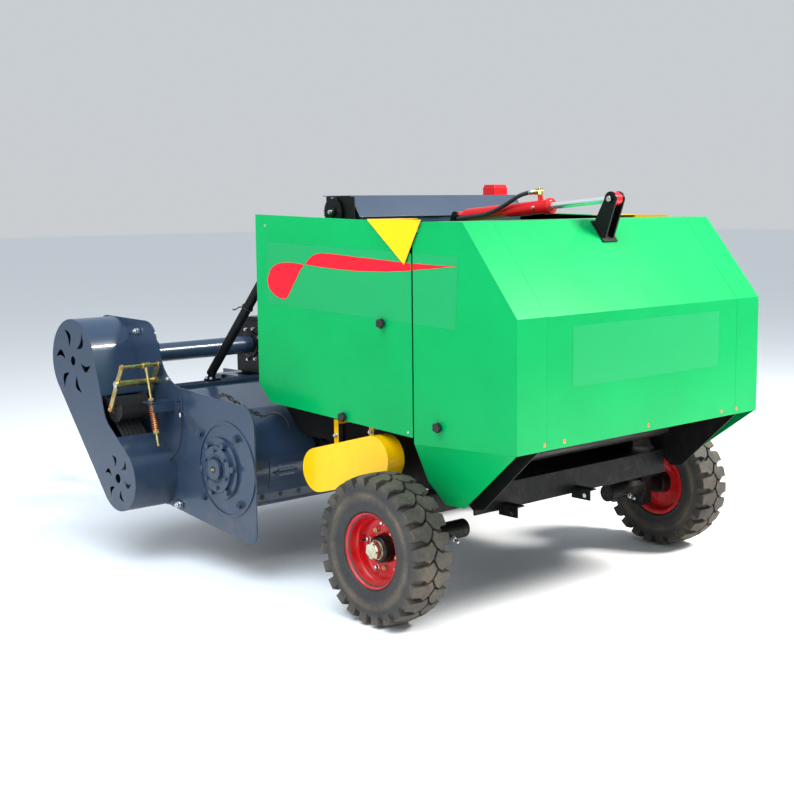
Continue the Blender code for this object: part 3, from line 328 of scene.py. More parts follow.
def plated(name, pale, deep, roughness, metallic=1.0, grain=120.0):
    """Plated or bare metal whose tint drifts over the piece."""
    finish = Finish(name)
    tint = finish.blend(finish.remap(finish.noise(35.0, 4.0), 0.32, 0.68), deep, pale)
    rough = finish.remap(finish.noise(grain, 3.0), 0.2, 0.8, roughness * 0.7, roughness * 1.35)
    normal = finish.bump(finish.noise(grain * 3.0, 2.0), 0.00015, 0.35)
    return finish.set(Base_Color=tint, Roughness=rough, Normal=normal, Metallic=metallic)


def chromed():
    """Hard chrome with the faintest grinding marks round the rod."""
    finish = Finish("rod_chrome")
    marks = finish.noise(1.0, 3.0, 0.5, (20.0, 500.0, 500.0))
    rough = finish.remap(marks, 0.3, 0.7, 0.16, 0.26)
    return finish.set(Base_Color=(0.88, 0.89, 0.90), Roughness=rough, Metallic=0.85)


def tyre_rubber():
    """Matt tyre rubber: brown dry mud over the tread, bluish black where the sidewall is wiped clean."""
    paint = bpy.context.scene.baler_paint
    finish = Finish("tyre_rubber_dusty")
    rub = finish.blend(finish.noise(22.0, 4.0), (0.016, 0.018, 0.022), (0.040, 0.039, 0.038))
    patches = finish.remap(finish.noise(7.5, 7.0, 0.68), 0.30, 0.62)
    fine = finish.remap(finish.noise(90.0, 5.0, 0.7), 0.30, 0.75, 0.35, 1.0)
    hub = centre("tyre_left")
    flat = finish.add("ShaderNodeVectorMath", Vector=finish.place)
    flat.operation = "MULTIPLY"
    flat.inputs[1].default_value = (0.0, 1.0, 1.0)
    away = finish.add("ShaderNodeVectorMath", Vector=flat.outputs["Vector"])
    away.operation = "DISTANCE"
    away.inputs[1].default_value = (0.0, hub.y, hub.z)
    radius = away.outputs["Value"]
    ring_mud = finish.maths("MULTIPLY", finish.remap(radius, 0.190, 0.212),
                            finish.remap(radius, 0.236, 0.222))
    tread_mud = finish.remap(radius, 0.232, 0.284, 0.18, 1.0)
    spread = finish.maths("ADD", ring_mud, tread_mud)
    mud = finish.maths("MULTIPLY", finish.maths("MULTIPLY", patches, fine), spread)
    colour = finish.blend(finish.maths("MULTIPLY", mud, 0.85), rub, tinted(paint.dust, 1.05))
    normal = finish.bump(finish.noise(210.0, 6.0), 0.0008, 0.6)
    normal = finish.bump(finish.noise(28.0, 5.0), 0.0012, 0.5, normal)
    rough = finish.remap(mud, 0.0, 1.0, 0.58, 0.92)
    return finish.set(Base_Color=colour, Roughness=rough, Normal=normal)


def black_rubber(name="belt_black", roughness=0.6):
    finish = Finish(name)
    colour = finish.blend(finish.noise(45.0, 5.0), (0.010, 0.010, 0.011), (0.032, 0.030, 0.028))
    rough = finish.remap(finish.noise(70.0, 4.0), 0.2, 0.8, roughness * 0.8, roughness * 1.3)
    return finish.set(Base_Color=colour, Roughness=rough,
                      Normal=finish.bump(finish.noise(300.0, 3.0), 0.0003, 0.5))


def vinyl(name, colour, roughness=0.28, clouding=0.05):
    """Printed film on the paint."""
    finish = Finish(name)
    base = finish.blend(finish.noise(6.0, 4.0), tinted(colour, 1 - clouding), tinted(colour, 1 + clouding))
    return finish.set(Base_Color=base, Roughness=roughness, Coat_Weight=0.1, Specular_IOR_Level=0.25,
                      Normal=finish.bump(finish.noise(420.0, 2.0), 0.0001, 0.4))


def studio_floor():
    finish = Finish("studio_floor_paint")
    colour = bpy.context.scene.baler_studio.floor
    base = finish.blend(finish.noise(0.8, 2.0), tinted(colour, 0.985), tinted(colour, 1.0))
    return finish.set(Base_Color=base, Roughness=0.75)


FINISHES = {}


def finish(name):
    """Each finish is made once, when the first piece asks for it."""
    paint = bpy.context.scene.baler_paint
    makers = {
        "green": lambda: enamel("cover_green", tuple(paint.green), 0.26, 0.10, 0.18),
        "slate": lambda: enamel("header_slate", tuple(paint.slate), 0.30, 0.45, 0.45),
        "yellow": lambda: enamel("guard_yellow", tuple(paint.yellow), 0.28, 0.25),
        "red": lambda: enamel("rim_red", tuple(paint.red), 0.24, 0.35),
        "black": chassis_black,
        "gloss_black": lambda: chassis_black("bracket_black", 0.26),
        "slats": worn_slats,
        "zinc": lambda: plated("yellow_zinc", (0.72, 0.60, 0.30), (0.50, 0.36, 0.14), 0.30),
        "bright": lambda: plated("bright_zinc", (0.78, 0.80, 0.82), (0.55, 0.56, 0.57), 0.26),
        "hub_steel": lambda: plated("hub_zinc", (0.74, 0.69, 0.52), (0.50, 0.45, 0.32), 0.30),
        "copper": lambda: plated("screw_copper", (0.75, 0.33, 0.16), (0.45, 0.16, 0.08), 0.35),
        "brass": lambda: plated("fitting_brass", (0.80, 0.62, 0.28), (0.55, 0.40, 0.16), 0.28),
        "dark_steel": lambda: plated("chain_steel", (0.16, 0.155, 0.15), (0.05, 0.048, 0.045), 0.45),
        "cast": lambda: enamel("cast_slate", tuple(paint.slate), 0.45, 0.2),
        "chrome": chromed,
        "tyre": tyre_rubber,
        "belt": black_rubber,
        "knob": lambda: black_rubber("knob_black", 0.42),
        "stripe": lambda: vinyl("stripe_red", (0.86, 0.012, 0.030)),
        "film": lambda: vinyl("film_green", (0.012, paint.green[1] * 0.96, paint.green[2] * 1.12),
                              0.30, 0.015),
        "floor": studio_floor,
    }
    if name not in FINISHES:
        FINISHES[name] = makers[name]()
    return FINISHES[name]


# Shapes.

def across(axis):
    """Two directions square to an axis."""
    axis = Vector(axis).normalized()
    guide = UP if abs(axis.z) < 0.9 else FORWARD
    side = guide.cross(axis).normalized()
    return side, axis.cross(side)


def add_rings(bm, rings, closed=False, caps=True):
    """Skin through rings of equal length."""
    loops = [[bm.verts.new(p) for p in ring] for ring in rings]
    pairs = list(zip(loops, loops[1:]))
    if closed:
        pairs.append((loops[-1], loops[0]))
    count = len(loops[0])
    for low, high in pairs:
        for i in range(count):
            j = (i + 1) % count
            bm.faces.new((low[i], low[j], high[j], high[i]))
    if caps and not closed:
        bm.faces.new(loops[0][::-1])
        bm.faces.new(loops[-1])


def ring(middle, axis, radius, count, phase=0.0):
    side, lift = across(axis)
    turns = [phase + 2 * math.pi * i / count for i in range(count)]
    return [middle + side * (radius * math.cos(a)) + lift * (radius * math.sin(a)) for a in turns]


def spoke(angle, radius=1.0):
    """A way out from a crosswise axis, at an angle from straight ahead."""
    return Vector((0.0, radius * math.cos(angle), radius * math.sin(angle)))


def add_turned(bm, start, axis, profile, count=32, closed=False):
    """A turned piece: (distance along the axis, radius) pairs from the start point."""
    axis = Vector(axis).normalized()
    rings = [ring(start + axis * along, axis, max(radius, 0.0004), count) for along, radius in profile]
    add_rings(bm, rings, closed)


def add_rod(bm, start, end, radius, count=20, chamfer=0.0):
    axis = end - start
    far = axis.length
    profile = [(0.0, radius - chamfer), (chamfer, radius), (far - chamfer, radius), (far, radius - chamfer)]
    if chamfer == 0.0:
        profile = [(0.0, radius), (far, radius)]
    add_turned(bm, start, axis, profile, count)


def add_prism(bm, outline, shift):
    """A flat outline of points, pushed along a shift."""
    add_rings(bm, [outline, [p + shift for p in outline]])


def add_box(bm, low, high):
    corners = [(low[0], low[1]), (high[0], low[1]), (high[0], high[1]), (low[0], high[1])]
    add_rings(bm, [[Vector((x, y, z)) for x, y in corners] for z in (low[2], high[2])])


def add_tube(bm, path, radius, count=12, closed=False):
    """A round tube along a path, kept from twisting."""
    rings = []
    last = None
    total = len(path)
    for i, point in enumerate(path):
        if closed:
            along = path[(i + 1) % total] - path[i - 1]
        else:
            along = path[min(i + 1, total - 1)] - path[max(i - 1, 0)]
        along.normalize()
        side = across(along)[0] if last is None else (last - along * last.dot(along)).normalized()
        lift = along.cross(side)
        last = side
        rings.append([point + side * (radius * math.cos(a)) + lift * (radius * math.sin(a))
                      for a in (2 * math.pi * k / count for k in range(count))])
    add_rings(bm, rings, closed)


def smooth_path(points, steps=6):
    """A soft curve through a few points."""
    path = []
    for i in range(len(points) - 1):
        before = points[max(i - 1, 0)]
        after = points[min(i + 2, len(points) - 1)]
        a, b = points[i], points[i + 1]
        for step in range(steps):
            t = step / steps
            path.append(0.5 * ((2 * a) + (b - before) * t + (2 * before - 5 * a + 4 * b - after) * t ** 2
                               + (3 * a - before - 3 * b + after) * t ** 3))
    path.append(points[-1])
    return path


def add_bolt(bm, point, axis, size, washer=1.15, thread=0.0):
    """A hex head on a washer at a point, facing along the axis; a thread stands past it if asked."""
    axis = Vector(axis).normalized()
    flat = size / 2
    corner = flat / math.cos(math.pi / 6)
    if washer:
        add_turned(bm, point, axis, [(0.0, flat * washer), (size * 0.10, flat * washer),
                                     (size * 0.12, flat * washer * 0.96)], 20)
    base = point + axis * (size * 0.11 if washer else 0.0)
    high = size * 0.58
    levels = [(0.0, corner), (high - size * 0.06, corner), (high, flat * 0.93)]
    add_rings(bm, [ring(base + axis * h, axis, r, 6, 0.3) for h, r in levels])
    if thread:
        add_turned(bm, base + axis * (high - 0.001), axis,
                   [(0.0, size * 0.30), (thread, size * 0.30), (thread + size * 0.05, size * 0.24)], 12)


def add_bolt_circle(bm, middle, out, count, radius, size, first=0.0, washer=1.2, thread=0.0):
    """Bolts spaced evenly round a crosswise axis."""
    for k in range(count):
        turn = first + 2 * math.pi * k / count
        add_bolt(bm, middle + spoke(turn) * radius, out, size, washer, thread)


def add_torus_link(bm, middle, along, side, length, width, wire, count=14):
    """One chain link: an oval loop of round wire."""
    along, side = along.normalized(), side.normalized()
    path = []
    for i in range(count):
        a = 2 * math.pi * i / count
        path.append(middle + along * (length / 2 * math.cos(a)) + side * (width / 2 * math.sin(a)))
    add_tube(bm, path, wire, 7, closed=True)


def wrap(circles, grow=0.0, step=math.radians(5)):
    """The taut outline round signed circles (y, z, radius, side); side -1 bends it inward."""
    circles = [(y, z, radius + side * grow, side) for y, z, radius, side in circles]
    normals = []
    for i, (ya, za, ra, sa) in enumerate(circles):
        yb, zb, rb, sb = circles[(i + 1) % len(circles)]
        far = math.hypot(yb - ya, zb - za)
        lean = (sa * ra - sb * rb) / far
        along = ((yb - ya) / far, (zb - za) / far)
        rest = math.sqrt(1.0 - lean * lean)
        normals.append(math.atan2(lean * along[1] - rest * along[0], lean * along[0] + rest * along[1]))
    points = []
    for i, (y, z, radius, side) in enumerate(circles):
        start, end = normals[i - 1], normals[i]
        turn = 2 * math.pi if side > 0 else -2 * math.pi
        while (end - start) * side < 0:
            end += turn
        count = max(2, math.ceil(abs(end - start) / step) + 1)
        for k in range(count):
            a = start + (end - start) * k / (count - 1)
            points.append((y + side * radius * math.cos(a), z + side * radius * math.sin(a)))
    return points


# Pieces.

def put(name, data):
    """A new object, linked into the scene."""
    made = bpy.data.objects.new(name, data)
    bpy.context.scene.collection.objects.link(made)
    return made


def body_of(node):
    return frame["nodes"][node]["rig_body"]


def carve(bm, cutters):
    """Cut each closed cutter out of the shape."""
    base = put("carved", bpy.data.meshes.new("carved"))
    bmesh.ops.recalc_face_normals(bm, faces=bm.faces)
    bm.to_mesh(base.data)
    tools = []
    for shape in cutters:
        bmesh.ops.recalc_face_normals(shape, faces=shape.faces)
        tool = put("cutter", bpy.data.meshes.new("cutter"))
        shape.to_mesh(tool.data)
        shape.free()
        step = base.modifiers.new("cut", "BOOLEAN")
        step.operation = "DIFFERENCE"
        step.solver = "EXACT"
        step.object = tool
        tools.append(tool)
    graph = bpy.context.evaluated_depsgraph_get()
    mesh = bpy.data.meshes.new_from_object(base.evaluated_get(graph))
    bm.clear()
    bm.from_mesh(mesh)
    for old in [base, *tools]:
        bpy.data.objects.remove(old)
    bpy.data.meshes.remove(mesh)
    return bm


def piece(name, bm, look, body, stands_for=(), edge=0.0, angle=38.0, recalc=True):
    """Turn a finished shape into an object that rides on its body."""
    if recalc:
        bmesh.ops.recalc_face_normals(bm, faces=bm.faces)
    mesh = bpy.data.meshes.new(name)
    bm.to_mesh(mesh)
    bm.free()
    mesh.materials.append(finish(look))
    mesh.shade_smooth()
    made = put(name, mesh)
    if edge:
        rounding = made.modifiers.new("soft edge", "BEVEL")
        rounding.width = edge
        rounding.segments = 2
        rounding.limit_method = "ANGLE"
        rounding.angle_limit = math.radians(angle)
        evened = made.modifiers.new("even shading", "WEIGHTED_NORMAL")
        evened.keep_sharp = False
        evened.weight = 60
    else:
        mesh.set_sharp_from_angle(angle=math.radians(angle))
    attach(made, body)
    if stands_for:
        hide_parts(*stands_for)
    return made


def shape_of(node):
    """The frame piece's own shape with its flat faces whole again."""
    bm = bmesh.new()
    bm.from_mesh(frame["nodes"][node].data)
    bmesh.ops.remove_doubles(bm, verts=bm.verts, dist=0.00002)
    bmesh.ops.dissolve_limit(bm, angle_limit=math.radians(0.4), verts=bm.verts, edges=bm.edges)
    return bm


def polished(node, look, edge=None, angle=38.0):
    """A frame piece with softened edges and its real finish."""
    soft = bpy.context.scene.baler_sizes.soft_edge if edge is None else edge
    bare = bmesh.new()
    source = shape_of(node)
    places = {v: bare.verts.new(v.co) for v in source.verts}
    for face in source.faces:
        bare.faces.new([places[v] for v in face.verts])
    source.free()
    return piece(node + "_finished", bare, look, body_of(node), (node,), soft, angle, recalc=False)


def sides():
    """The left and the right of the machine, as a name and a sign."""
    return (("left", -1.0), ("right", 1.0))


# Wheels.

def tyre_section():
    """Half of the carcass section from the tread's middle to the bead: (distance out, radius)."""
    half = (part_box("tyre_left")[1].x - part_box("tyre_left")[0].x) / 2
    rim_half = (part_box("rim_left")[1].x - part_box("rim_left")[0].x) / 2
    top = reach("tyre_left") - bpy.context.scene.baler_sizes.tread_depth
    seat = reach("rim_left")
    return [(0.0, top), (half * 0.45, top - 0.001), (half * 0.72, top - 0.005), (half * 0.86, top - 0.014),
            (half * 0.925, top - 0.026), (half * 0.955, top - 0.042), (half * 0.955, top - 0.056),
            (half * 0.972, top - 0.058), (half * 0.972, top - 0.064), (half * 0.950, top - 0.066),
            (half * 0.940, top - 0.082), (half * 0.905, top - 0.098), (half * 0.865, seat + 0.018),
            (half * 0.872, seat + 0.014), (half * 0.868, seat + 0.008), (rim_half, seat + 0.0035),
            (rim_half - 0.005, seat + 0.0015), (rim_half - 0.007, seat - 0.008),
            (rim_half - 0.012, seat - 0.015)]


def lug_outline(pitch, half):
    """One tread lug laid flat: (distance round, distance across); its inner end points over the middle."""
    corners = ((-0.30, -1.0), (0.30, -1.0), (0.31, -0.62), (0.50, -0.38), (0.30, -0.14), (-0.13, 0.05),
               (-0.56, -0.14), (-0.37, -0.38), (-0.38, -0.62))
    return [(u * pitch, v * half) for u, v in corners]


def add_lug(bm, hub, turn, side, pitch, half, top, depth):
    """Bend one lug round the tyre."""
    flat = bmesh.new()
    low = [flat.verts.new((u, v, 0.0)) for u, v in lug_outline(pitch, half)]
    face = flat.faces.new(low)
    raised = bmesh.ops.extrude_face_region(flat, geom=[face])
    for v in (g for g in raised["geom"] if isinstance(g, bmesh.types.BMVert)):
        v.co.z = 1.0
        v.co.x *= 0.965
    for cut_at in (-0.42, -0.24, -0.12, 0.0, 0.12, 0.24, 0.40):
        bmesh.ops.bisect_plane(flat, geom=flat.verts[:] + flat.edges[:] + flat.faces[:],
                               plane_co=(cut_at * pitch, 0, 0), plane_no=(1, 0, 0))
    bmesh.ops.bisect_plane(flat, geom=flat.verts[:] + flat.edges[:] + flat.faces[:],
                           plane_co=(0, -0.74 * half, 0), plane_no=(0, 1, 0))
    made = {}
    for v in flat.verts:
        out = min(1.0, abs(v.co.y) / half)
        crown = 0.0095 * out ** 3
        radius = top - crown - (0.0 if v.co.z > 0.5 else depth + 0.020 * out ** 2)
        inward = 0.0 if v.co.z > 0.5 else 0.006 * out ** 4
        x = side * (abs(v.co.y) - inward) * (1 if v.co.y < 0 else -1)
        angle = turn + v.co.x / top
        made[v] = bm.verts.new(hub + Vector((x, radius * math.cos(angle), radius * math.sin(angle))))
    for f in flat.faces:
        bm.faces.new([made[v] for v in f.verts])
    flat.free()


def build_tyre(side):
    sizes = bpy.context.scene.baler_sizes
    node = "tyre_" + side
    hub = centre(node)
    low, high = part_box(node)
    half = (high.x - low.x) / 2
    top = reach(node)
    bm = bmesh.new()
    section = tyre_section()
    loop = section + [(-x, r) for x, r in section[:0:-1]]
    add_turned(bm, hub, RIGHT, loop[::-1], 112, closed=True)
    pitch = 2 * math.pi * top / sizes.lugs
    for i in range(sizes.lugs):
        turn = 2 * math.pi * i / sizes.lugs
        add_lug(bm, hub, turn, 1.0, pitch, half, top, sizes.tread_depth + 0.004)
        add_lug(bm, hub, turn + math.pi / sizes.lugs, -1.0, pitch, half, top, sizes.tread_depth + 0.004)
    tyre = piece("tyre_tread_" + side, bm, "tyre", body_of(node), (node,), 0.0022, 42.0)
    tyre.modifiers["soft edge"].segments = 1


def rim_section(out):
    """The rim's closed section from its outer lip round the dish: (distance out, radius)."""
    lip = reach("rim_left")
    half = (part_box("rim_left")[1].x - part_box("rim_left")[0].x) / 2
    seat = lip - 0.013
    face = [(half, lip), (half - 0.002, lip + 0.0005), (half - 0.006, lip - 0.002),
            (half - 0.008, seat + 0.003), (half - 0.040, seat), (-half + 0.040, seat),
            (-half + 0.008, seat + 0.003),
            (-half + 0.006, lip - 0.002), (-half + 0.001, lip), (-half, lip - 0.004),
            (-half + 0.005, seat - 0.004), (-half + 0.040, seat - 0.008), (-0.020, seat - 0.012),
            (-0.026, seat - 0.024), (-0.020, 0.060), (-0.020, 0.030), (-0.008, 0.030), (-0.008, 0.112),
            (-0.004, seat - 0.019), (0.006, seat - 0.015), (0.020, seat - 0.0125),
            (half - 0.042, seat - 0.008), (half - 0.038, seat - 0.0045), (half - 0.012, seat - 0.002),
            (half - 0.006, lip - 0.006),
            (half - 0.001, lip - 0.003)]
    return [(out * x, r) for x, r in face]


def build_rim(side, sign):
    node = "rim_" + side
    hub = centre(node)
    hub.y, hub.z = centre("tyre_" + side).y, centre("tyre_" + side).z
    out = RIGHT * sign
    body = body_of(node)
    bm = bmesh.new()
    add_turned(bm, hub, RIGHT, rim_section(sign), 96, closed=True)
    piece("rim_dish_" + side, bm, "red", body, (node,), 0.0, 50.0)

    bm = bmesh.new()
    add_turned(bm, hub - out * 0.070, out, [(0.0, 0.040), (0.004, 0.047), (0.048, 0.050), (0.052, 0.056),
                                            (0.061, 0.059), (0.070, 0.0565), (0.096, 0.0530),
                                            (0.103, 0.047), (0.1065, 0.041), (0.1075, 0.036)], 48)
    piece("hub_shell_" + side, bm, "gloss_black", body, edge=0.0008)

    bm = bmesh.new()
    studs = bmesh.new()
    for i in range(5):
        turn = math.radians(126 + 72 * i)
        add_bolt(studs, hub + spoke(turn) * 0.0790 - out * 0.0080, out, 0.018, 1.2, 0.005)
        turn = math.radians(83 + 72 * i)
        add_turned(bm, hub + spoke(turn) * 0.0985 - out * 0.0080, out,
                   [(0.0, 0.0118), (0.003, 0.0118), (0.004, 0.0098), (0.012, 0.0092), (0.0155, 0.0070),
                    (0.0175, 0.0030)], 18)
    piece("rim_studs_" + side, studs, "zinc", body, edge=0.0004)
    piece("rim_caps_" + side, bm, "bright", body)

    bm = bmesh.new()
    root = hub + Vector((0.0, 0.106, 0.018)) - out * 0.004
    tip = root + out * 0.044 + Vector((0.0, -0.016, 0.0))
    add_turned(bm, root, tip - root, [(0.0, 0.0065), (0.010, 0.0055), (0.026, 0.0045), (0.028, 0.0052),
                                      (0.040, 0.0052), (0.042, 0.0040)], 14)
    piece("valve_" + side, bm, "knob", body)


class BALER_OT_wheels(bpy.types.Operator):
    """Tyres with their tread lugs, dished rims, hubs, studs and valves"""
    bl_idname = "baler.wheels"
    bl_label = "Wheels"

    def execute(self, context):
        for side, sign in sides():
            build_tyre(side)
            build_rim(side, sign)
        return {"FINISHED"}


# Axle.

class BALER_OT_axle(bpy.types.Operator):
    """Cross beam, clamped stub arms, clamp bolts and the big hub nuts"""
    bl_idname = "baler.axle"
    bl_label = "Axle"

    def execute(self, context):
        polished("axle_beam", "black", 0.002)
        for side, sign in sides():
            self.arm(side, sign)
        return {"FINISHED"}

    def arm(self, side, sign):
        node = "axle_arm_" + side
        polished(node, "black", 0.0012)
        out = RIGHT * sign
        hub = centre("tyre_" + side)
        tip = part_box(node)[0].x if sign < 0 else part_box(node)[1].x
        nut = Vector((tip, hub.y, hub.z))
        bm = bmesh.new()
        flat = HUB_NUT_HALF_FLATS
        corner = flat / math.cos(math.pi / 6)
        levels = [(-0.0205, corner), (-0.0035, corner), (0.0006, flat * 0.97)]
        add_rings(bm, [ring(nut + out * a, out, r + 0.0006, 6, 0.35) for a, r in levels])
        for start, end, radius in ((-0.0300, -0.0262, 0.0395), (-0.0256, -0.0218, 0.0370)):
            thick = end - start
            add_turned(bm, nut + out * start, out, [(0.0, radius - 0.001), (0.001, radius),
                                                    (thick - 0.001, radius), (thick, radius - 0.001)], 36)
        piece("hub_nut_" + side, bm, "hub_steel", "chassis", edge=0.0007)

        inner = from_axle(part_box(node)[1] if sign < 0 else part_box(node)[0]).x
        middle = at(inner + sign * 0.105, 0.0, hub.z + TUBE_RISE)
        bm = bmesh.new()
        add_turned(bm, at(inner + sign * 0.001, 0.0, hub.z + TUBE_RISE), LEFT * sign,
                   [(0.0, 0.031), (0.0012, 0.031)], 28)
        piece("tube_end_" + side, bm, "slats", "chassis")
        bm = bmesh.new()
        add_rod(bm, middle + BACK * 0.030 + DOWN * 0.012, middle + BACK * 0.078 + DOWN * 0.030,
                0.0065, 16, 0.001)
        add_bolt(bm, middle + BACK * 0.046 + DOWN * 0.018, BACK + DOWN * 0.37, 0.019, 1.2)
        piece("clamp_bolt_" + side, bm, "bright", "chassis", edge=0.0004)
        bm = bmesh.new()
        arm_low = from_axle(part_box(node)[0])
        plate_x = sorted((sign * 0.688, sign * 0.742))
        add_box(bm, at(plate_x[0], -0.023, arm_low.z - 0.0004), at(plate_x[1], 0.023, arm_low.z + 0.004))
        piece("arm_foot_" + side, bm, "bright", "chassis", edge=0.0008)


# Chamber.

class BALER_OT_chamber(bpy.types.Operator):
    """Chamber walls and bars, its slatted wall and the drilled tabs under the rear beam"""
    bl_idname = "baler.chamber"
    bl_label = "Bale chamber"

    def execute(self, context):
        polished("chamber_frame", "black")
        polished("chamber_slats_front", "slats", 0.0015)
        polished("chamber_slats_floor", "slats", 0.0015)
        bm = bmesh.new()
        for x in TAB_XS:
            start = at(x - 0.0012, -0.272, 0.408)
            add_turned(bm, start, RIGHT, [(0.0, 0.0095), (0.0085, 0.0095), (0.0090, 0.0065)], 20)
        piece("tab_eyelets", bm, "bright", "chassis")
        bm = bmesh.new()
        for _, sign in sides():
            x0, x1 = sorted((sign * 0.6200, sign * 0.6275))
            outline = [at(x0, y, z) for y, z in ((0.560, 0.605), (0.800, 0.605), (0.870, 0.625),
                                                 (0.950, 0.712), (0.950, 0.795), (0.560, 0.795))]
            add_prism(bm, outline, RIGHT * (x1 - x0))
        piece("feed_skirts", bm, "black", "chassis", edge=0.0008)
        return {"FINISHED"}


# Covers.

def star_knob(bm, point, out, radius=0.021):
    """A five-lobed screw knob on its collar."""
    side, lift = across(out)
    steps = 40

    def outline(size, along):
        points = []
        for k in range(steps):
            a = 2 * math.pi * k / steps
            r = 0.90 + 0.10 * math.cos(5 * a)
            points.append(point + out * along + side * (size * r * math.cos(a))
                          + lift * (size * r * math.sin(a)))
        return points

    add_turned(bm, point, out, [(0.0, radius * 0.62), (0.007, radius * 0.55), (0.0085, radius * 0.5)], 24)
    add_rings(bm, [outline(radius * 0.90, 0.007), outline(radius, 0.010), outline(radius, 0.020),
                   outline(radius * 0.88, 0.0245), outline(radius * 0.45, 0.0262)])


def stripe_parts():
    """Outlines of the side stripe as (y, z): the round drop in front and the ribbon that tapers back."""
    drop = [(0.639, 1.366), (0.700, 1.374), (0.783, 1.373), (0.835, 1.363), (0.872, 1.340), (0.893, 1.300),
            (0.888, 1.268), (0.861, 1.243), (0.825, 1.225), (0.789, 1.219), (0.762, 1.223), (0.744, 1.240),
            (0.718, 1.275), (0.688, 1.312), (0.664, 1.345)]
    ribbon_top = [(0.630, 1.370), (0.610, 1.390), (0.582, 1.407), (0.550, 1.416), (0.514, 1.420),
                  (0.400, 1.415), (0.306, 1.409), (0.150, 1.401), (0.001, 1.393), (-0.130, 1.389),
                  (-0.272, 1.386)]
    ribbon_low = [(-0.272, 1.386), (-0.130, 1.374), (0.001, 1.362), (0.110, 1.355), (0.203, 1.353),
                  (0.310, 1.353), (0.416, 1.356), (0.549, 1.363), (0.630, 1.370)]
    return drop, ribbon_top + ribbon_low[1:-1]


def clip(outline, limit, keep_front):
    """The part of a (y, z) outline on one side of a line across it."""
    kept = []
    for (ya, za), (yb, zb) in zip(outline, outline[1:] + outline[:1]):
        inside_a = (ya > limit) == keep_front
        inside_b = (yb > limit) == keep_front
        if inside_a:
            kept.append((ya, za))
        if inside_a != inside_b:
            t = (limit - ya) / (yb - ya)
            kept.append((limit, za + (zb - za) * t))
    return kept


def rounded(outline, steps=5):
    """A closed (y, z) outline with a soft curve through its points."""
    points = [Vector((0.0, y, z)) for y, z in outline]
    path = smooth_path([points[-1], *points, points[0], points[1]], steps)
    inner = path[steps:-(steps + 1)]
    return [(p.y, p.z) for p in inner]


def film(name, outline, look, body, lift=FILM_LIFT):
    """A thin printed film on the left side cover."""
    x = COVER_X - lift
    bm = bmesh.new()
    bm.faces.new([bm.verts.new(at(x, y, z)) for y, z in outline])
    bmesh.ops.triangulate(bm, faces=bm.faces)
    for face in bm.faces:
        face.normal_update()
        if face.normal.x > 0:
            face.normal_flip()
    thick = bmesh.ops.extrude_face_region(bm, geom=bm.faces[:])
    for v in (g for g in thick["geom"] if isinstance(g, bmesh.types.BMVert)):
        v.co.x -= FILM_THICKNESS
    return piece(name, bm, look, body)


class BALER_OT_covers(bpy.types.Operator):
    """Side covers with their knobs and stripe, seam plates, deck and apron"""
    bl_idname = "baler.covers"
    bl_label = "Covers"

    def execute(self, context):
        for side, sign in sides():
            polished("front_cover_" + side, "green")
            polished("seam_plate_" + side, "yellow", 0.0008)
            bm = bmesh.new()
            for y, z in ((0.141, 1.152), (0.387, 0.752)):
                star_knob(bm, at(sign * -COVER_X, y, z), RIGHT * sign)
            piece("cover_knobs_" + side, bm, "knob", "chassis", edge=0.0008)
            bm = bmesh.new()
            star_knob(bm, at(sign * -COVER_X, -0.178, 0.774), RIGHT * sign)
            piece("tailgate_knob_" + side, bm, "knob", "tailgate", edge=0.0008)
            bm = bmesh.new()
            for y, z in ((0.000, 0.733), (0.905, 1.530)):
                add_turned(bm, at(sign * -COVER_X, y, z), RIGHT * sign,
                           [(0.0, 0.006), (0.002, 0.0055), (0.0034, 0.003)], 16)
            piece("cover_rivets_" + side, bm, "bright", "chassis")
        polished("front_panel", "green")
        self.stripe()
        return {"FINISHED"}

    def stripe(self):
        backing = [(0.897, 1.461), (0.897, 1.195), (-0.266, 1.151), (-0.287, 1.423)]
        film("film_front", clip(backing, SEAM_FRONT_Y, True), "film", "chassis")
        film("film_rear", clip(backing, SEAM_REAR_Y, False), "film", "tailgate")
        drop, ribbon = stripe_parts()
        film("stripe_drop", rounded(drop), "stripe", "chassis", STRIPE_LIFT)
        film("stripe_ribbon", clip(ribbon, SEAM_FRONT_Y, True), "stripe", "chassis", STRIPE_LIFT)
        film("stripe_tail", clip(ribbon, SEAM_REAR_Y, False), "stripe", "tailgate", STRIPE_LIFT)


# Tailgate.

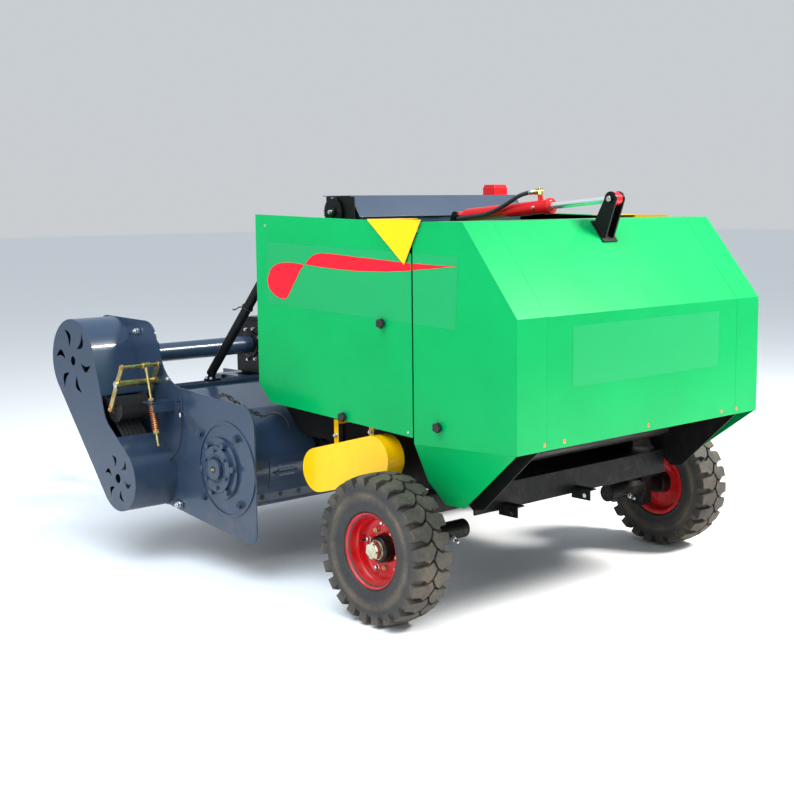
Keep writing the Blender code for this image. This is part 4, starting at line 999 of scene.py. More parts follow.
class BALER_OT_tailgate(bpy.types.Operator):
    """Tailgate frame, slats, corner covers, rear panel with its screws, and the lift clevis"""
    bl_idname = "baler.tailgate"
    bl_label = "Tailgate"

    def execute(self, context):
        polished("tailgate_frame", "black")
        polished("tailgate_slats", "slats", 0.0015)
        for node in ("tailgate_cover_left", "tailgate_cover_right", "tailgate_rear_panel"):
            polished(node, "green")
        polished("tailgate_clevis", "gloss_black", 0.0010)
        self.screws()
        self.rear_film()
        self.pin()
        return {"FINISHED"}

    def screws(self):
        bm = bmesh.new()
        for x in (-0.613, -0.503, 0.003, 0.503, 0.613):
            add_turned(bm, at(x, REAR_FACE_Y + 0.0002, 0.737), BACK, [(0.0, 0.0086), (0.0006, 0.0080),
                                                                      (0.0010, 0.0052), (0.0011, 0.0012)], 18)
        piece("tailgate_screws", bm, "copper", "tailgate")

    def rear_film(self):
        bm = bmesh.new()
        low, high = at(-0.460, REAR_FACE_Y - 0.0005, 0.935), at(0.470, REAR_FACE_Y - 0.0003, 1.165)
        add_box(bm, low, high)
        piece("film_tailgate", bm, "film", "tailgate")

    def pin(self):
        low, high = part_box("cylinder_rod")
        eye = Vector((MIDDLE_X, from_axle(low).y + ROD_EYE_RADIUS + AXLE_Y, high.z - ROD_EYE_RADIUS))
        bm = bmesh.new()
        add_turned(bm, eye + LEFT * 0.0415, RIGHT, [(0.0, 0.0105), (0.001, 0.0115), (0.0822, 0.0115),
                                                   (0.083, 0.0105)], 24)
        piece("clevis_pin", bm, "bright", "tailgate")
        bm = bmesh.new()
        add_torus_link(bm, eye + RIGHT * 0.0405 + UP * 0.012, UP, BACK, 0.030, 0.017, 0.0014, 20)
        piece("clevis_ring", bm, "bright", "tailgate")


# Lift cylinder.

class BALER_OT_lift(bpy.types.Operator):
    """The tailgate's lift cylinder: barrel, gland, elbow, hose, chromed rod and its eye"""
    bl_idname = "baler.lift"
    bl_label = "Lift cylinder"

    def execute(self, context):
        polished("cylinder_bracket", "gloss_black")
        polished("cylinder_barrel", "red", 0.0012)
        foot = at(0.0, *LIFT_FOOT)
        pin = at(0.0, *LIFT_PIN)
        run = (pin - foot).normalized()
        self.gland(foot, run)
        self.elbow()
        self.rod(pin, run)
        return {"FINISHED"}

    def gland(self, foot, run):
        bm = bmesh.new()
        add_turned(bm, foot + run * 0.5482, run, [(0.0, 0.0325), (0.0018, 0.0315), (0.0026, 0.0240),
                                                  (0.0036, 0.0220), (0.0038, 0.0155)], 36)
        side, lift = across(run)
        for turn in (0.4, 2.5, 4.6):
            spot = side * math.cos(turn) + lift * math.sin(turn)
            add_turned(bm, foot + run * 0.5318 + spot * 0.0330, spot, [(0.0, 0.0045), (0.0022, 0.0040)], 12)
        piece("gland_ring", bm, "red", "lift_barrel")
        bm = bmesh.new()
        add_bolt(bm, foot + run * 0.470 + LEFT * 0.0285, LEFT, 0.012, 1.2)
        piece("bleed_screw", bm, "bright", "lift_barrel", edge=0.0003)

    def elbow(self):
        start = at(0.0, -0.00224, 1.6545)
        bm = bmesh.new()
        add_turned(bm, start + DOWN * 0.006, UP, [(0.0, 0.0125), (0.003, 0.0135), (0.018, 0.0135),
                                                  (0.021, 0.0120)], 6)
        add_turned(bm, start + UP * 0.004, UP, [(0.0, 0.0105), (0.020, 0.0105), (0.023, 0.0080)], 20)
        heading = Vector((-0.008, 0.034, -0.003)).normalized()
        add_turned(bm, start + UP * 0.0105, heading, [(0.0, 0.0095), (0.014, 0.0095), (0.015, 0.0125),
                                                     (0.028, 0.0125), (0.030, 0.0100)], 18)
        piece("port_elbow", bm, "brass", "lift_barrel", edge=0.0004)
        top = start + UP * 0.0105
        points = [top + heading * 0.026, top + Vector((-0.014, 0.066, -0.008)),
                  top + Vector((-0.031, 0.100, -0.022)), top + Vector((-0.044, 0.165, -0.058)),
                  top + Vector((-0.049, 0.230, -0.084)), top + Vector((-0.051, 0.300, -0.100)),
                  top + Vector((-0.052, 0.440, -0.114))]
        bm = bmesh.new()
        add_turned(bm, points[0] - heading * 0.004, heading, [(0.0, 0.0098), (0.002, 0.0112), (0.030, 0.0112),
                                                             (0.032, 0.0098)], 20)
        piece("hose_ferrule", bm, "bright", "lift_barrel")
        bm = bmesh.new()
        add_tube(bm, smooth_path(points, 10), 0.0088, 16)
        piece("hose_cover", bm, "belt", "lift_barrel", ("hydraulic_hose",))

    def rod(self, pin, run):
        bm = bmesh.new()
        add_rod(bm, pin - run * 0.3580, pin - run * 0.0240, 0.0140, 36)
        piece("chrome_rod", bm, "chrome", "lift_rod", ("cylinder_rod",))
        bm = bmesh.new()
        add_turned(bm, pin - run * 0.0420, run, [(0.0, 0.0150), (0.002, 0.0185), (0.014, 0.0200),
                                                 (0.022, 0.0185)], 28)
        add_turned(bm, pin + LEFT * 0.0200, RIGHT, [(0.0, 0.0240), (0.002, 0.0268), (0.038, 0.0268),
                                                    (0.040, 0.0240)], 36)
        piece("rod_eye", bm, "red", "lift_rod", edge=0.0006)


# Twine box.

class BALER_OT_twine_box(bpy.types.Operator):
    """Twine box and lid, the black gear plate beside it and the small red tank"""
    bl_idname = "baler.twine_box"
    bl_label = "Twine box"

    def execute(self, context):
        polished("twine_box", "slate")
        polished("twine_box_lid", "slate", 0.0009)
        polished("twine_gear_plate", "black")
        self.gear()
        self.tank()
        return {"FINISHED"}

    def gear(self):
        teeth = 34
        middle = at(-0.5375, 0.700, 1.585)
        outline = []
        for k in range(teeth):
            for share, radius in ((0.0, 0.0570), (0.30, 0.0570), (0.42, 0.0628), (0.78, 0.0628),
                                  (0.90, 0.0570)):
                a = 2 * math.pi * (k + share) / teeth
                outline.append(middle + spoke(a, radius))
        bm = bmesh.new()
        add_prism(bm, outline, LEFT * 0.012)
        add_turned(bm, middle + LEFT * 0.011, LEFT, [(0.0, 0.022), (0.010, 0.020), (0.012, 0.017)], 24)
        piece("twine_gear", bm, "gloss_black", "chassis", edge=0.0006)
        bm = bmesh.new()
        add_bolt(bm, middle + LEFT * 0.023, LEFT, 0.017, 1.2)
        add_bolt(bm, at(-0.536, 0.600, 1.530), LEFT, 0.013, 1.2)
        piece("gear_bolts", bm, "bright", "chassis", edge=0.0003)

    def tank(self):
        low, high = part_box("oil_tank")
        bm = bmesh.new()
        add_box(bm, low, Vector((high.x, high.y, low.z + 0.100)))
        piece("tank_base", bm, "black", "chassis", edge=0.004)
        bm = bmesh.new()
        corners = [(low.x, low.y), (high.x, low.y), (high.x, high.y), (low.x, high.y)]
        middle = (low + high) / 2

        def level(z, inset):
            return [Vector((x + math.copysign(inset, middle.x - x),
                            y + math.copysign(inset, middle.y - y), z)) for x, y in corners]

        add_rings(bm, [level(low.z + 0.1005, 0.001), level(high.z - 0.016, 0.001),
                       level(high.z - 0.014, 0.0035), level(high.z - 0.003, 0.0055),
                       level(high.z - 0.001, 0.012)])
        piece("tank_cap", bm, "red", "chassis", ("oil_tank",), 0.0045)


# Header.

class BALER_OT_header(bpy.types.Operator):
    """Header trough and beam, side plates, bearing flanges, bolts, door latch, chain and braces"""
    bl_idname = "baler.header"
    bl_label = "Header"

    def execute(self, context):
        polished("header_frame", "slate")
        polished("header_door", "slate", 0.0008)
        for part, look in (("side", "slate"), ("brace", "black")):
            for side in ("left", "right"):
                polished("header_" + part + "_" + side, look, 0.0014)
        self.auger_bearings()
        self.plate_bolts()
        self.angle_hole_shade()
        self.latch()
        self.chain()
        self.lug()
        self.brace_trim()
        return {"FINISHED"}

    def auger_bearings(self):
        size = bpy.context.scene.baler_sizes.bolt_size
        for side, sign in sides():
            out = RIGHT * sign
            face = Vector((sign * -PLATE_X, AUGER_AXIS.y, AUGER_AXIS.z)) + ORIGIN
            bm = bmesh.new()
            add_bolt_circle(bm, face + out * 0.0120, out, 6, 0.1185, size * 0.88, math.radians(-6))
            for y, z in ((0.146, 0.139), (-0.130, 0.147), (0.130, -0.146), (-0.140, -0.142)):
                add_bolt(bm, face + Vector((0.0, y, z)), out, size, 1.25, 0.005)
            add_bolt_circle(bm, face + out * 0.0260, out, 6, 0.0820, size * 0.52, math.radians(24))
            piece("bearing_bolts_" + side, bm, "slate", "chassis", edge=0.0006)
            bm = bmesh.new()
            add_turned(bm, face + out * 0.0258, out, [(0.0, 0.066), (0.0026, 0.0655), (0.0032, 0.063),
                                                      (0.0006, 0.059), (0.0002, 0.056)], 48)
            add_turned(bm, face + out * 0.0386, out, [(0.0, 0.046), (0.001, 0.0462), (0.0013, 0.040),
                                                      (0.0013, 0.030), (0.0005, 0.022), (0.0005, 0.015)], 40)
            piece("bearing_rings_" + side, bm, "slate", "chassis", edge=0.0004)
            if side == "right":
                continue
            bm = bmesh.new()
            add_turned(bm, face + out * 0.0402, out, [(0.0, 0.0150), (0.0006, 0.0150), (0.0008, 0.0145)], 28)
            piece("bearing_bore", bm, "knob", "chassis")
            bm = bmesh.new()
            add_bolt(bm, face + out * 0.0408, out, 0.010, 1.5, 0.003)
            piece("grease_nipple", bm, "brass", "chassis")

    def plate_bolts(self):
        bm = bmesh.new()
        x = PLATE_X - 0.0005
        add_bolt(bm, at(x - 0.006, 1.348, 0.261), LEFT, 0.024, 1.3, 0.006)
        add_bolt(bm, at(x, 1.404, 0.836), LEFT, 0.020, 1.2, 0.004)
        add_bolt(bm, at(x - 0.004, 1.664, 1.039), LEFT, 0.022, 1.2, 0.008)
        for y, z in ((1.700, 0.300), (1.560, 0.262)):
            add_bolt(bm, at(-x, y, z), RIGHT, 0.020, 1.2)
        piece("plate_bolts", bm, "bright", "chassis", edge=0.0005)
        bm = bmesh.new()
        add_box(bm, at(x - 0.0060, 1.318, 0.247), at(x, 1.385, 0.276))
        add_box(bm, at(x - 0.0045, 1.640, 1.024), at(x, 1.735, 1.052))
        piece("guard_tabs", bm, "slate", "chassis", edge=0.0010)

    def angle_hole_shade(self):
        """Black discs on the angle under the trough: painted shade standing in for the dark inside of its
        drilled holes.
        """
        bm = bmesh.new()
        y = AUGER_AXIS.y - ANGLE_BEHIND_AUGER
        for k in range(17):
            add_turned(bm, at(-0.850 + 0.100 * k, y, 0.3565), BACK, [(0.0, 0.0115), (0.0008, 0.0115)], 20)
        piece("angle_hole_shade_discs", bm, "knob", "chassis")

    def latch(self):
        """The inspection door's bar handle and its bolt keeper."""
        low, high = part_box("header_door")
        rear = low.y - 0.0012
        z = (low.z + high.z) / 2 + 0.020
        x0, x1 = low.x + 0.035, high.x - 0.070
        bar = [Vector((x0, rear, z + 0.012)), Vector((x0, rear - 0.018, z + 0.014)),
               Vector((x0 + 0.02, rear - 0.022, z + 0.016)), Vector((x1 - 0.02, rear - 0.022, z + 0.016)),
               Vector((x1, rear - 0.018, z + 0.014)), Vector((x1, rear, z + 0.012))]
        bm = bmesh.new()
        add_tube(bm, smooth_path(bar, 5), 0.0042, 12)
        add_box(bm, Vector((x0 + 0.010, rear - 0.004, z - 0.036)), Vector((x0 + 0.095, rear, z - 0.006)))
        add_rod(bm, Vector((x0 - 0.012, rear - 0.008, z - 0.021)),
                Vector((x0 + 0.110, rear - 0.008, z - 0.021)), 0.0062, 14, 0.001)
        piece("door_latch", bm, "slate", body_of("header_door"), edge=0.0006)

    def chain(self):
        """A short chain hooked over the plate's rear edge, and its black tail."""
        points = [at(-0.948, 1.020, 0.797), at(-0.930, 0.990, 0.800), at(-0.905, 0.955, 0.772),
                  at(-0.875, 0.925, 0.742), at(-0.845, 0.895, 0.722), at(-0.815, 0.872, 0.706)]
        path = smooth_path(points, 3)
        bm = bmesh.new()
        for k in range(len(path) - 1):
            along = path[k + 1] - path[k]
            side, lift = across(along)
            turned = side if k % 2 else lift
            add_torus_link(bm, (path[k] + path[k + 1]) / 2, along, turned, along.length * 1.75,
                           0.0155, 0.0028)
        piece("hook_chain", bm, "dark_steel", "chassis")
        tail = [at(-0.815, 0.872, 0.706), at(-0.790, 0.845, 0.722), at(-0.765, 0.815, 0.716),
                at(-0.745, 0.800, 0.690), at(-0.735, 0.800, 0.655)]
        bm = bmesh.new()
        add_tube(bm, smooth_path(tail, 6), 0.0042, 10)
        piece("chain_tail", bm, "knob", "chassis")

    def lug(self):
        """The spring lug's rib, its bolted strip and the thin grease line down to the rotor bearing."""
        x = PLATE_X
        bm = bmesh.new()
        add_box(bm, at(x - 0.112, 1.368, 0.694), at(x, 1.374, 0.7312))
        add_box(bm, at(x - 0.006, 1.300, 0.690), at(x, 1.336, 0.760))
        piece("spring_lug_rib", bm, "slate", "chassis", edge=0.0012)
        bm = bmesh.new()
        for y, z in ((1.318, 0.745), (1.318, 0.706)):
            add_bolt(bm, at(x - 0.0062, y, z), LEFT, 0.015, 1.2)
        piece("strip_bolts", bm, "dark_steel", "chassis", edge=0.0004)
        bm = bmesh.new()
        add_turned(bm, at(x - 0.010, 1.309, 0.690), DOWN,
                   [(0.0, 0.0055), (0.018, 0.0055), (0.020, 0.0040)], 14)
        piece("line_ferrule", bm, "bright", "chassis")
        line = [at(x - 0.010, 1.309, 0.672), at(x - 0.012, 1.300, 0.630), at(x - 0.014, 1.303, 0.575),
                at(x - 0.015, 1.322, 0.525), at(x - 0.018, 1.350, 0.490), at(x - 0.022, 1.392, 0.462)]
        bm = bmesh.new()
        add_tube(bm, smooth_path(line, 6), 0.0030, 10)
        piece("grease_line", bm, "knob", "chassis")
        bm = bmesh.new()
        add_turned(bm, at(x, ROTOR_AXIS.y, ROTOR_AXIS.z), LEFT,
                   [(0.0, 0.150), (0.008, 0.150), (0.010, 0.147), (0.010, 0.118), (0.022, 0.112),
                    (0.026, 0.106), (0.026, 0.050), (0.004, 0.048)], 56)
        piece("rotor_bearing", bm, "slate", "chassis", edge=0.0008)

    def brace_trim(self):
        for side, sign in sides():
            bm = bmesh.new()
            for z in (1.305, 1.385):
                add_bolt(bm, at(sign * 0.688, 0.9418, z), FORWARD, 0.016, 1.2)
            for y in (1.412, 1.449):
                add_bolt(bm, at(sign * 0.7190, y, 0.8112), UP, 0.014, 1.2)
            piece("brace_bolts_" + side, bm, "bright", "chassis", edge=0.0004)
        start, end = at(-0.700, 0.9576, 1.345), at(-0.700, 1.440, 0.834)
        run = (end - start).normalized()
        middle = start + (end - start) * 0.36
        side, lift = across(run)
        bm = bmesh.new()
        loop = [middle + side * (0.0238 * math.cos(a)) + lift * (0.0238 * math.sin(a))
                + run * (0.004 * math.sin(2 * a)) for a in (2 * math.pi * k / 26 for k in range(26))]
        add_tube(bm, loop, 0.0032, 8, closed=True)
        spot = middle + side * 0.024
        add_tube(bm, smooth_path([spot, spot + LEFT * 0.020 + UP * 0.004, spot + LEFT * 0.045 + DOWN * 0.006,
                                  spot + LEFT * 0.058 + DOWN * 0.004], 5), 0.0026, 8)
        piece("brace_tie", bm, "knob", "chassis")


# Crop parts.

class BALER_OT_crop_parts(bpy.types.Operator):
    """The flail rotor and the auger that turn inside the header"""
    bl_idname = "baler.crop_parts"
    bl_label = "Rotor and auger"

    def execute(self, context):
        polished("flail_rotor", "cast", 0.0012)
        polished("auger", "slate", 0.0010)
        return {"FINISHED"}


# Belt drive.

def guard_outline(grow=0.0):
    """The belt guard's outline: an arc at each pulley and the bite between them."""
    low, high = (from_axle(p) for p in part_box("belt_guard"))
    upper, lower = high.z - SHAFT_AXIS.z, ROTOR_AXIS.z - low.z
    return wrap([(SHAFT_AXIS.y, SHAFT_AXIS.z, upper, 1), (*GUARD_BITE, GUARD_BITE_RADIUS, -1),
                 (ROTOR_AXIS.y, ROTOR_AXIS.z, lower, 1)], grow, math.radians(4))



def belt_outline(grow):
    """The belts' loop round both pulleys, pressed inward by the idler."""
    belt_height = 0.012
    return wrap([(SHAFT_AXIS.y, SHAFT_AXIS.z, reach("drive_pulley") + BELT_GAP, 1),
                 (IDLER_AXIS.y, IDLER_AXIS.z, IDLER_RADIUS + BELT_GAP + belt_height, -1),
                 (ROTOR_AXIS.y, ROTOR_AXIS.z, reach("rotor_pulley") + BELT_GAP, 1)], grow, math.radians(6))


def add_rosette(bm, axis, start, near, far, bulge, x, depth):
    """Six curved slots and a round hole round an axis, as cutters."""
    for k in range(6):
        a = start + k * math.pi / 3
        radial = spoke(a)
        sweep = Vector((0.0, -math.sin(a), math.cos(a)))
        hub = at(x, axis.y, axis.z)
        outer, inner = [], []
        steps = 10
        for i in range(steps + 1):
            s = i / steps
            bow = math.sin(math.pi * s)
            spot = hub + radial * (near + (far - near) * s)
            outer.append(spot + sweep * (bulge * bow))
            inner.append(spot + sweep * (bulge * 0.30 * bow))
        add_prism(bm, outer + inner[-2:0:-1], RIGHT * depth)
    add_rod(bm, at(x, axis.y, axis.z), at(x + depth, axis.y, axis.z), 0.0215, 28)


class BALER_OT_belt_drive(bpy.types.Operator):
    """Slotted belt guard, grooved pulleys, ribbed belts and the idler roller"""
    bl_idname = "baler.belt_drive"
    bl_label = "Belt drive"

    def execute(self, context):
        self.guard()
        self.belts()
        self.pulleys()
        self.idler()
        return {"FINISHED"}

    def guard(self):
        inner_x = from_axle(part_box("belt_guard")[1]).x
        bm = bmesh.new()
        add_prism(bm, [at(GUARD_X, y, z) for y, z in guard_outline()], RIGHT * (inner_x - GUARD_X))
        hollow = bmesh.new()
        inside = [at(GUARD_X + GUARD_SHEET, y, z) for y, z in guard_outline(-GUARD_SHEET)]
        add_prism(hollow, inside, RIGHT * 0.4)
        bite = bmesh.new()
        add_rod(bite, at(GUARD_X + GUARD_SHEET + 0.001, *GUARD_BITE), at(inner_x + 0.05, *GUARD_BITE),
                GUARD_BITE_RADIUS + 0.025, 64)
        slots = bmesh.new()
        add_rosette(slots, SHAFT_AXIS, math.radians(3), 0.070, 0.162, 0.040, GUARD_X - 0.01, 0.02)
        add_rosette(slots, ROTOR_AXIS, math.radians(5), 0.055, 0.113, 0.0285, GUARD_X - 0.01, 0.02)
        carve(bm, [hollow, bite, slots])
        bmesh.ops.dissolve_limit(bm, angle_limit=math.radians(0.2), verts=bm.verts, edges=bm.edges)
        piece("belt_guard_cover", bm, "slate", "chassis", ("belt_guard",), 0.0011)

    def belts(self):
        count = bpy.context.scene.baler_sizes.belt_count
        low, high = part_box("drive_belts")
        wide = (high.x - low.x) / count
        bm = bmesh.new()
        for k in range(count):
            x0 = low.x + wide * k
            section = [(x0 + wide * 0.05, 0.0115), (x0 + wide * 0.12, 0.0120), (x0 + wide * 0.88, 0.0120),
                       (x0 + wide * 0.95, 0.0115), (x0 + wide * 0.95, 0.0060), (x0 + wide * 0.74, 0.0),
                       (x0 + wide * 0.26, 0.0), (x0 + wide * 0.05, 0.0060)]
            loops = []
            for x, grow in section:
                loops.append([Vector((x, AXLE_Y + y, z)) for y, z in belt_outline(grow)])
            rows = [list(points) for points in zip(*loops)]
            add_rings(bm, rows, closed=True)
        piece("ribbed_belts", bm, "belt", "chassis", ("drive_belts",), 0.0, 50.0)

    def pulleys(self):
        count = bpy.context.scene.baler_sizes.belt_count
        for node, screws in (("drive_pulley", 6), ("rotor_pulley", 5)):
            low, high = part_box(node)
            middle = centre(node)
            radius = reach(node)
            wide = high.x - low.x
            bm = bmesh.new()
            profile = [(0.0, 0.026), (0.0, 0.050), (0.018, 0.052), (0.020, radius - 0.030),
                       (0.0, radius - 0.026), (0.0, radius)]
            for k in range(count):
                base = wide * (k + 0.5) / count
                half = wide / count / 2
                profile += [(base - half * 0.72, radius), (base - half * 0.38, radius - 0.0075),
                            (base + half * 0.38, radius - 0.0075), (base + half * 0.72, radius)]
            profile += [(wide, radius), (wide, radius - 0.024), (wide - 0.020, radius - 0.030),
                        (wide - 0.018, 0.052), (wide, 0.050), (wide, 0.026)]
            add_turned(bm, Vector((low.x, middle.y, middle.z)), RIGHT, profile, 72, closed=True)
            piece(node + "_grooved", bm, "cast", body_of(node), (node,), 0.0, 40.0)
            bm = bmesh.new()
            add_bolt_circle(bm, Vector((low.x, middle.y, middle.z)), LEFT, screws, 0.038, 0.011)
            piece(node + "_screws", bm, "bright", body_of(node), edge=0.0003)
        polished("drive_shaft", "hub_steel")

    def idler(self):
        low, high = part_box("idler_roller")
        middle = centre("idler_roller")
        wide = high.x - low.x
        bm = bmesh.new()
        add_turned(bm, Vector((low.x, middle.y, middle.z)), RIGHT,
                   [(0.006, 0.010), (0.006, 0.024), (0.002, 0.028), (0.002, 0.050), (0.0, 0.054),
                    (0.0, 0.0625), (0.001, 0.063), (0.004, 0.063), (0.005, 0.0625), (0.0055, 0.0552),
                    (wide - 0.0055, 0.0552), (wide - 0.005, 0.0625), (wide - 0.004, 0.063),
                    (wide - 0.001, 0.063), (wide, 0.0625),
                    (wide, 0.054), (wide - 0.002, 0.050), (wide - 0.002, 0.028), (wide - 0.006, 0.024),
                    (wide - 0.006, 0.010)], 56, closed=True)
        piece("idler_drum", bm, "knob", "belt_idler", ("idler_roller",), 0.0, 40.0)


# Tensioner.

class BALER_OT_tensioner(bpy.types.Operator):
    """Cranked zinc links, cross bar, push rod and its coil spring"""
    bl_idname = "baler.tensioner"
    bl_label = "Belt tensioner"

    def execute(self, context):
        polished("tensioner_arm", "zinc", 0.0009)
        outer_x = from_axle(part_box("tensioner_arm")[0]).x
        bm = bmesh.new()
        add_bolt(bm, at(outer_x + 0.0166, 1.512, 0.820), LEFT, 0.027, 1.15)
        piece("pivot_nut", bm, "bright", "chassis", edge=0.0005)
        bm = bmesh.new()
        for y, z in (LINK_TOP, (IDLER_AXIS.y, IDLER_AXIS.z)):
            add_turned(bm, at(outer_x + 0.0080, y, z), LEFT,
                       [(0.0, 0.0125), (0.0035, 0.0125), (0.0045, 0.0110), (0.0045, 0.0085),
                        (0.0078, 0.0080)], 24)
        piece("link_ends", bm, "copper", "chassis", edge=0.0003)
        self.rod()
        return {"FINISHED"}

    def rod(self):
        sizes = bpy.context.scene.baler_sizes
        top = at(-1.035, *LINK_TOP)
        guide = at(-1.035, 1.425, 0.735)
        run = (guide - top).normalized()
        side, lift = across(run)
        bm = bmesh.new()
        add_turned(bm, top + LEFT * 0.020, RIGHT, [(0.0, 0.0130), (0.001, 0.0140), (0.039, 0.0140),
                                                   (0.040, 0.0130)], 28)
        add_turned(bm, top + run * 0.008, run, [(0.0, 0.0110), (0.020, 0.0078), (0.030, 0.0070),
                                                (0.360, 0.0070), (0.364, 0.0055)], 20)
        add_bolt(bm, guide + run * 0.128, run, 0.026, 1.25)
        add_bolt(bm, guide - run * 0.018, run, 0.024, 0)
        piece("push_rod", bm, "zinc", "chassis", ("tensioner_rod",), 0.0005)
        bm = bmesh.new()
        turns, steps = sizes.spring_turns, 16
        begin, length = guide + run * 0.0065, 0.122
        path = []
        for i in range(turns * steps + 1):
            a = 2 * math.pi * i / steps
            path.append(begin + run * (length * i / (turns * steps))
                        + (side * math.cos(a) + lift * math.sin(a)) * 0.0160)
        add_tube(bm, path, 0.0034, 8)
        piece("tension_spring", bm, "copper", "chassis")


# Gearbox.

class BALER_OT_gearbox(bpy.types.Operator):
    """Bevel gearbox with its bolted covers, cross tube and splined input stub"""
    bl_idname = "baler.gearbox"
    bl_label = "Gearbox"

    def execute(self, context):
        polished("gearbox", "gloss_black", 0.006)
        polished("drive_shaft_tube", "slate", 0.0010)
        low, high = (from_axle(p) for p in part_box("gearbox"))
        bm = bmesh.new()
        add_bolt_circle(bm, at(low.x, SHAFT_AXIS.y, SHAFT_AXIS.z), LEFT, 8, 0.085, 0.015, 0.3)
        for x in (-0.090, 0.090):
            for y in (1.785, 1.965):
                add_bolt(bm, at(x, y, high.z - 0.0005), UP, 0.016, 1.2)
        piece("gearbox_bolts", bm, "bright", "chassis", edge=0.0004)
        bm = bmesh.new()
        add_box(bm, at(-0.110, 1.768, high.z - 0.0003), at(0.110, 1.982, high.z + 0.006))
        add_turned(bm, at(0.0, 1.875, high.z + 0.005), UP, [(0.0, 0.018), (0.010, 0.018), (0.012, 0.012),
                                                           (0.024, 0.011), (0.027, 0.007)], 20)
        for y0 in (1.770, 1.850, 1.930):
            add_box(bm, at(0.1295, y0, 0.780), at(0.136, y0 + 0.012, 0.985))
        add_turned(bm, at(-0.1485, SHAFT_AXIS.y, SHAFT_AXIS.z), LEFT,
                   [(0.0, 0.070), (0.006, 0.070), (0.008, 0.064), (0.012, 0.056)], 40)
        piece("gearbox_cover", bm, "gloss_black", "chassis", edge=0.0016)
        self.stub()
        return {"FINISHED"}

    def stub(self):
        low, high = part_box("pto_stub")
        middle = centre("pto_stub")
        outline = []
        for k in range(6):
            for share, radius in ((0.02, 0.0145), (0.20, 0.0145), (0.24, 0.0174), (0.50, 0.0175),
                                  (0.76, 0.0174), (0.80, 0.0145)):
                a = 2 * math.pi * (k + share) / 6
                outline.append(Vector((middle.x + radius * math.cos(a), low.y + 0.012,
                                       middle.z + radius * math.sin(a))))
        bm = bmesh.new()
        add_prism(bm, outline, FORWARD * (high.y - low.y - 0.012))
        add_rod(bm, Vector((middle.x, low.y, middle.z)), Vector((middle.x, low.y + 0.014, middle.z)),
                0.0174, 28)
        piece("splined_stub", bm, "hub_steel", "pto_input", ("pto_stub",), 0.0007)


# Chain guard.

class BALER_OT_chain_guard(bpy.types.Operator):
    """Yellow guard over the chamber chain, with its two hanger bolts"""
    bl_idname = "baler.chain_guard"
    bl_label = "Chain guard"

    def execute(self, context):
        polished("chain_guard", "yellow", 0.0032)
        bm = bmesh.new()
        for y, z in ((0.286, 0.694), (0.513, 0.652)):
            add_bolt(bm, at(-0.7042, y, z), LEFT, 0.017, 1.3, 0.004)
        piece("hanger_bolts", bm, "bright", "chassis", edge=0.0004)
        return {"FINISHED"}


# Drawbar.

class BALER_OT_drawbar(bpy.types.Operator):
    """Drawbar, hitch eye and the parking jack with its crank"""
    bl_idname = "baler.drawbar"
    bl_label = "Drawbar"

    def execute(self, context):
        polished("drawbar", "slate", 0.0022)
        polished("hitch_eye", "gloss_black", 0.0025)
        polished("jack_housing", "black", 0.0012)
        polished("jack_leg", "bright", 0.0010)
        self.bolts()
        self.crank()
        return {"FINISHED"}

    def bolts(self):
        bm = bmesh.new()
        for x in (-0.205, 0.205):
            for z in (0.640, 0.705):
                add_bolt(bm, at(x, 2.0573, z), FORWARD, 0.024, 1.25, 0.005)
        for y in (2.845, 2.885):
            for _, sign in sides():
                add_bolt(bm, at(sign * 0.050, y, 0.500), RIGHT * sign, 0.022, 1.25, 0.004)
        piece("drawbar_bolts", bm, "bright", "chassis", edge=0.0005)

    def crank(self):
        x, y = centre("jack_leg").x, centre("jack_leg").y
        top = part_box("jack_housing")[1].z
        bm = bmesh.new()
        add_turned(bm, Vector((x, y, top - 0.012)), UP, [(0.0, 0.033), (0.004, 0.034), (0.012, 0.030),
                                                         (0.020, 0.012), (0.040, 0.011)], 28)
        arm = [Vector((x, y, top + 0.020)), Vector((x, y, top + 0.034)), Vector((x - 0.020, y, top + 0.040)),
               Vector((x - 0.110, y, top + 0.040)), Vector((x - 0.128, y, top + 0.046)),
               Vector((x - 0.130, y, top + 0.062))]
        add_tube(bm, smooth_path(arm, 6), 0.0065, 14)
        piece("jack_crank", bm, "black", "chassis", edge=0.0006)
        bm = bmesh.new()
        add_turned(bm, Vector((x - 0.130, y, top + 0.055)), UP,
                   [(0.0, 0.010), (0.004, 0.0135), (0.050, 0.0150), (0.078, 0.0135), (0.084, 0.0090)], 24)
        piece("crank_grip", bm, "knob", "chassis")


# Stage.

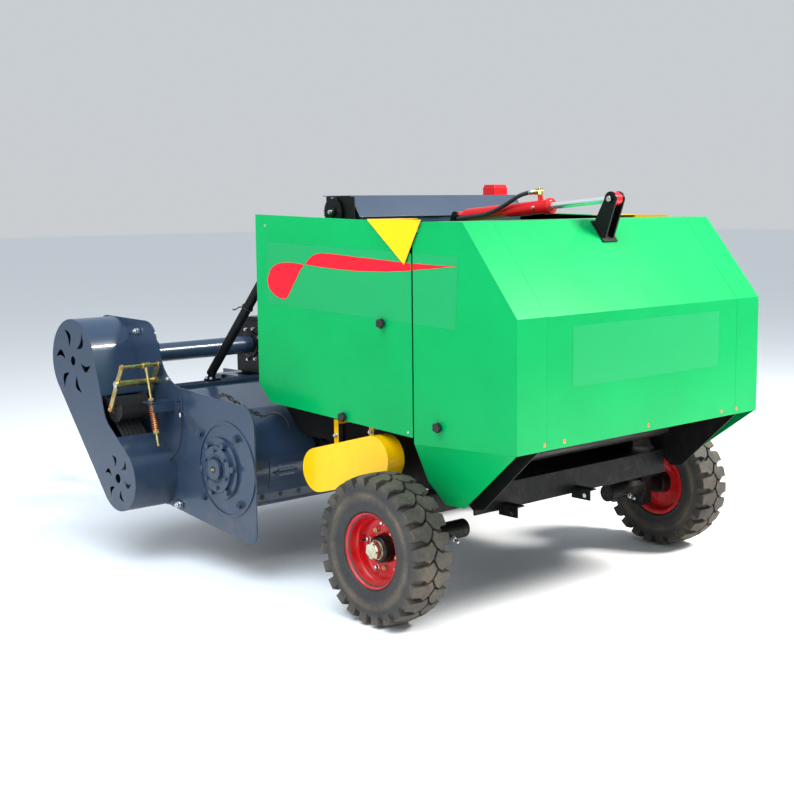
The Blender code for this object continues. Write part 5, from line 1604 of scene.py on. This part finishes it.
class BALER_OT_stage(bpy.types.Operator):
    """Pale floor, soft lights, an even sky and the camera"""
    bl_idname = "baler.stage"
    bl_label = "Studio"

    def execute(self, context):
        self.floor()
        self.lights()
        self.camera()
        return {"FINISHED"}

    def floor(self):
        bm = bmesh.new()
        half = 60.0
        bm.faces.new([bm.verts.new((x, y, -0.0006)) for x, y in
                      ((-half, -half), (half, -half), (half, half), (-half, half))])
        mesh = bpy.data.meshes.new("studio_floor")
        bm.to_mesh(mesh)
        bm.free()
        mesh.materials.append(finish("floor"))
        floor = put("studio_floor", mesh)

    def area(self, name, place, target, power, size, colour=(1.0, 1.0, 1.0)):
        light = bpy.data.lights.new(name, "AREA")
        light.energy = power
        light.size = size
        light.color = colour
        lamp = put(name, light)
        lamp.location = place
        lamp.rotation_euler = (target - place).to_track_quat("-Z", "Y").to_euler()

    def lights(self):
        studio = bpy.context.scene.baler_studio
        target = at(0.0, 0.2, 0.9)
        self.area("key_light", at(3.6, -3.6, 5.2), target, studio.key_power, 1.6, (1.0, 0.98, 0.94))
        self.area("fill_light", at(-5.6, -0.8, 3.2), target, studio.fill_power, 4.5, (0.92, 0.96, 1.0))
        self.area("sky_panel", at(-2.6, 0.2, 5.0), target, studio.top_power, 4.0, (0.78, 0.88, 1.0))
        world = bpy.data.worlds.new("studio_sky")
        world.use_nodes = True
        shade = world.node_tree.nodes["Background"]
        tree = world.node_tree
        place = tree.nodes.new("ShaderNodeTexCoord")
        split = tree.nodes.new("ShaderNodeSeparateXYZ")
        ramp = tree.nodes.new("ShaderNodeValToRGB")
        ramp.color_ramp.elements[0].position = 0.42
        ramp.color_ramp.elements[0].color = (0.90, 0.92, 0.94, 1.0)
        ramp.color_ramp.elements[1].position = 0.75
        ramp.color_ramp.elements[1].color = (0.84, 0.92, 1.0, 1.0)
        shift = tree.nodes.new("ShaderNodeMapRange")
        shift.inputs["From Min"].default_value = -1.0
        tree.links.new(place.outputs["Generated"], split.inputs["Vector"])
        tree.links.new(split.outputs["Z"], shift.inputs["Value"])
        tree.links.new(shift.outputs["Result"], ramp.inputs["Fac"])
        tree.links.new(ramp.outputs["Color"], shade.inputs["Color"])
        shade.inputs["Strength"].default_value = studio.sky
        bpy.context.scene.world = world
        bpy.context.scene.view_settings.view_transform = "Standard"
        bpy.context.scene.view_settings.gamma = 0.90

    def camera(self):
        lens = bpy.data.cameras.new("studio_camera")
        lens.lens = bpy.context.scene.baler_studio.lens
        lens.sensor_width = 36.0
        lens.shift_x = -0.027
        lens.shift_y = -0.0205
        lens.clip_end = 200.0
        camera = put("studio_camera", lens)
        turn = (Matrix.Rotation(-0.7466, 4, "Z") @ Matrix.Rotation(1.4409, 4, "X")
                @ Matrix.Rotation(-0.0089, 4, "Z"))
        camera.matrix_world = Matrix.Translation(at(-4.2315, -3.8135, 1.6217)) @ turn
        bpy.context.scene.camera = camera


PIECES = (BALER_OT_wheels, BALER_OT_axle, BALER_OT_chamber, BALER_OT_covers, BALER_OT_tailgate,
          BALER_OT_lift, BALER_OT_twine_box, BALER_OT_header, BALER_OT_crop_parts, BALER_OT_belt_drive,
          BALER_OT_tensioner, BALER_OT_gearbox, BALER_OT_chain_guard, BALER_OT_drawbar)


class BALER_PT_looks(bpy.types.Panel):
    bl_label = "Baler looks"
    bl_idname = "BALER_PT_looks"
    bl_space_type = "VIEW_3D"
    bl_region_type = "UI"
    bl_category = "Baler"

    def draw(self, context):
        for settings in (context.scene.baler_paint, context.scene.baler_sizes, context.scene.baler_studio):
            box = self.layout.box()
            for name in settings.bl_rna.properties.keys():
                if name not in ("rna_type", "name"):
                    box.prop(settings, name)
        column = self.layout.column(align=True)
        for operator in (*PIECES, BALER_OT_stage):
            column.operator(operator.bl_idname)


CLASSES = (BalerPaint, BalerSizes, BalerStudio, *PIECES, BALER_OT_stage, BALER_PT_looks)


def register():
    for cls in CLASSES:
        bpy.utils.register_class(cls)
    bpy.types.Scene.baler_paint = PointerProperty(type=BalerPaint)
    bpy.types.Scene.baler_sizes = PointerProperty(type=BalerSizes)
    bpy.types.Scene.baler_studio = PointerProperty(type=BalerStudio)


def unregister():
    del bpy.types.Scene.baler_studio
    del bpy.types.Scene.baler_sizes
    del bpy.types.Scene.baler_paint
    for cls in reversed(CLASSES):
        bpy.utils.unregister_class(cls)


def main():
    register()
    for operator in (*PIECES, BALER_OT_stage):
        group, name = operator.bl_idname.split(".")
        getattr(getattr(bpy.ops, group), name)()


if __name__ == "__main__":
    main()
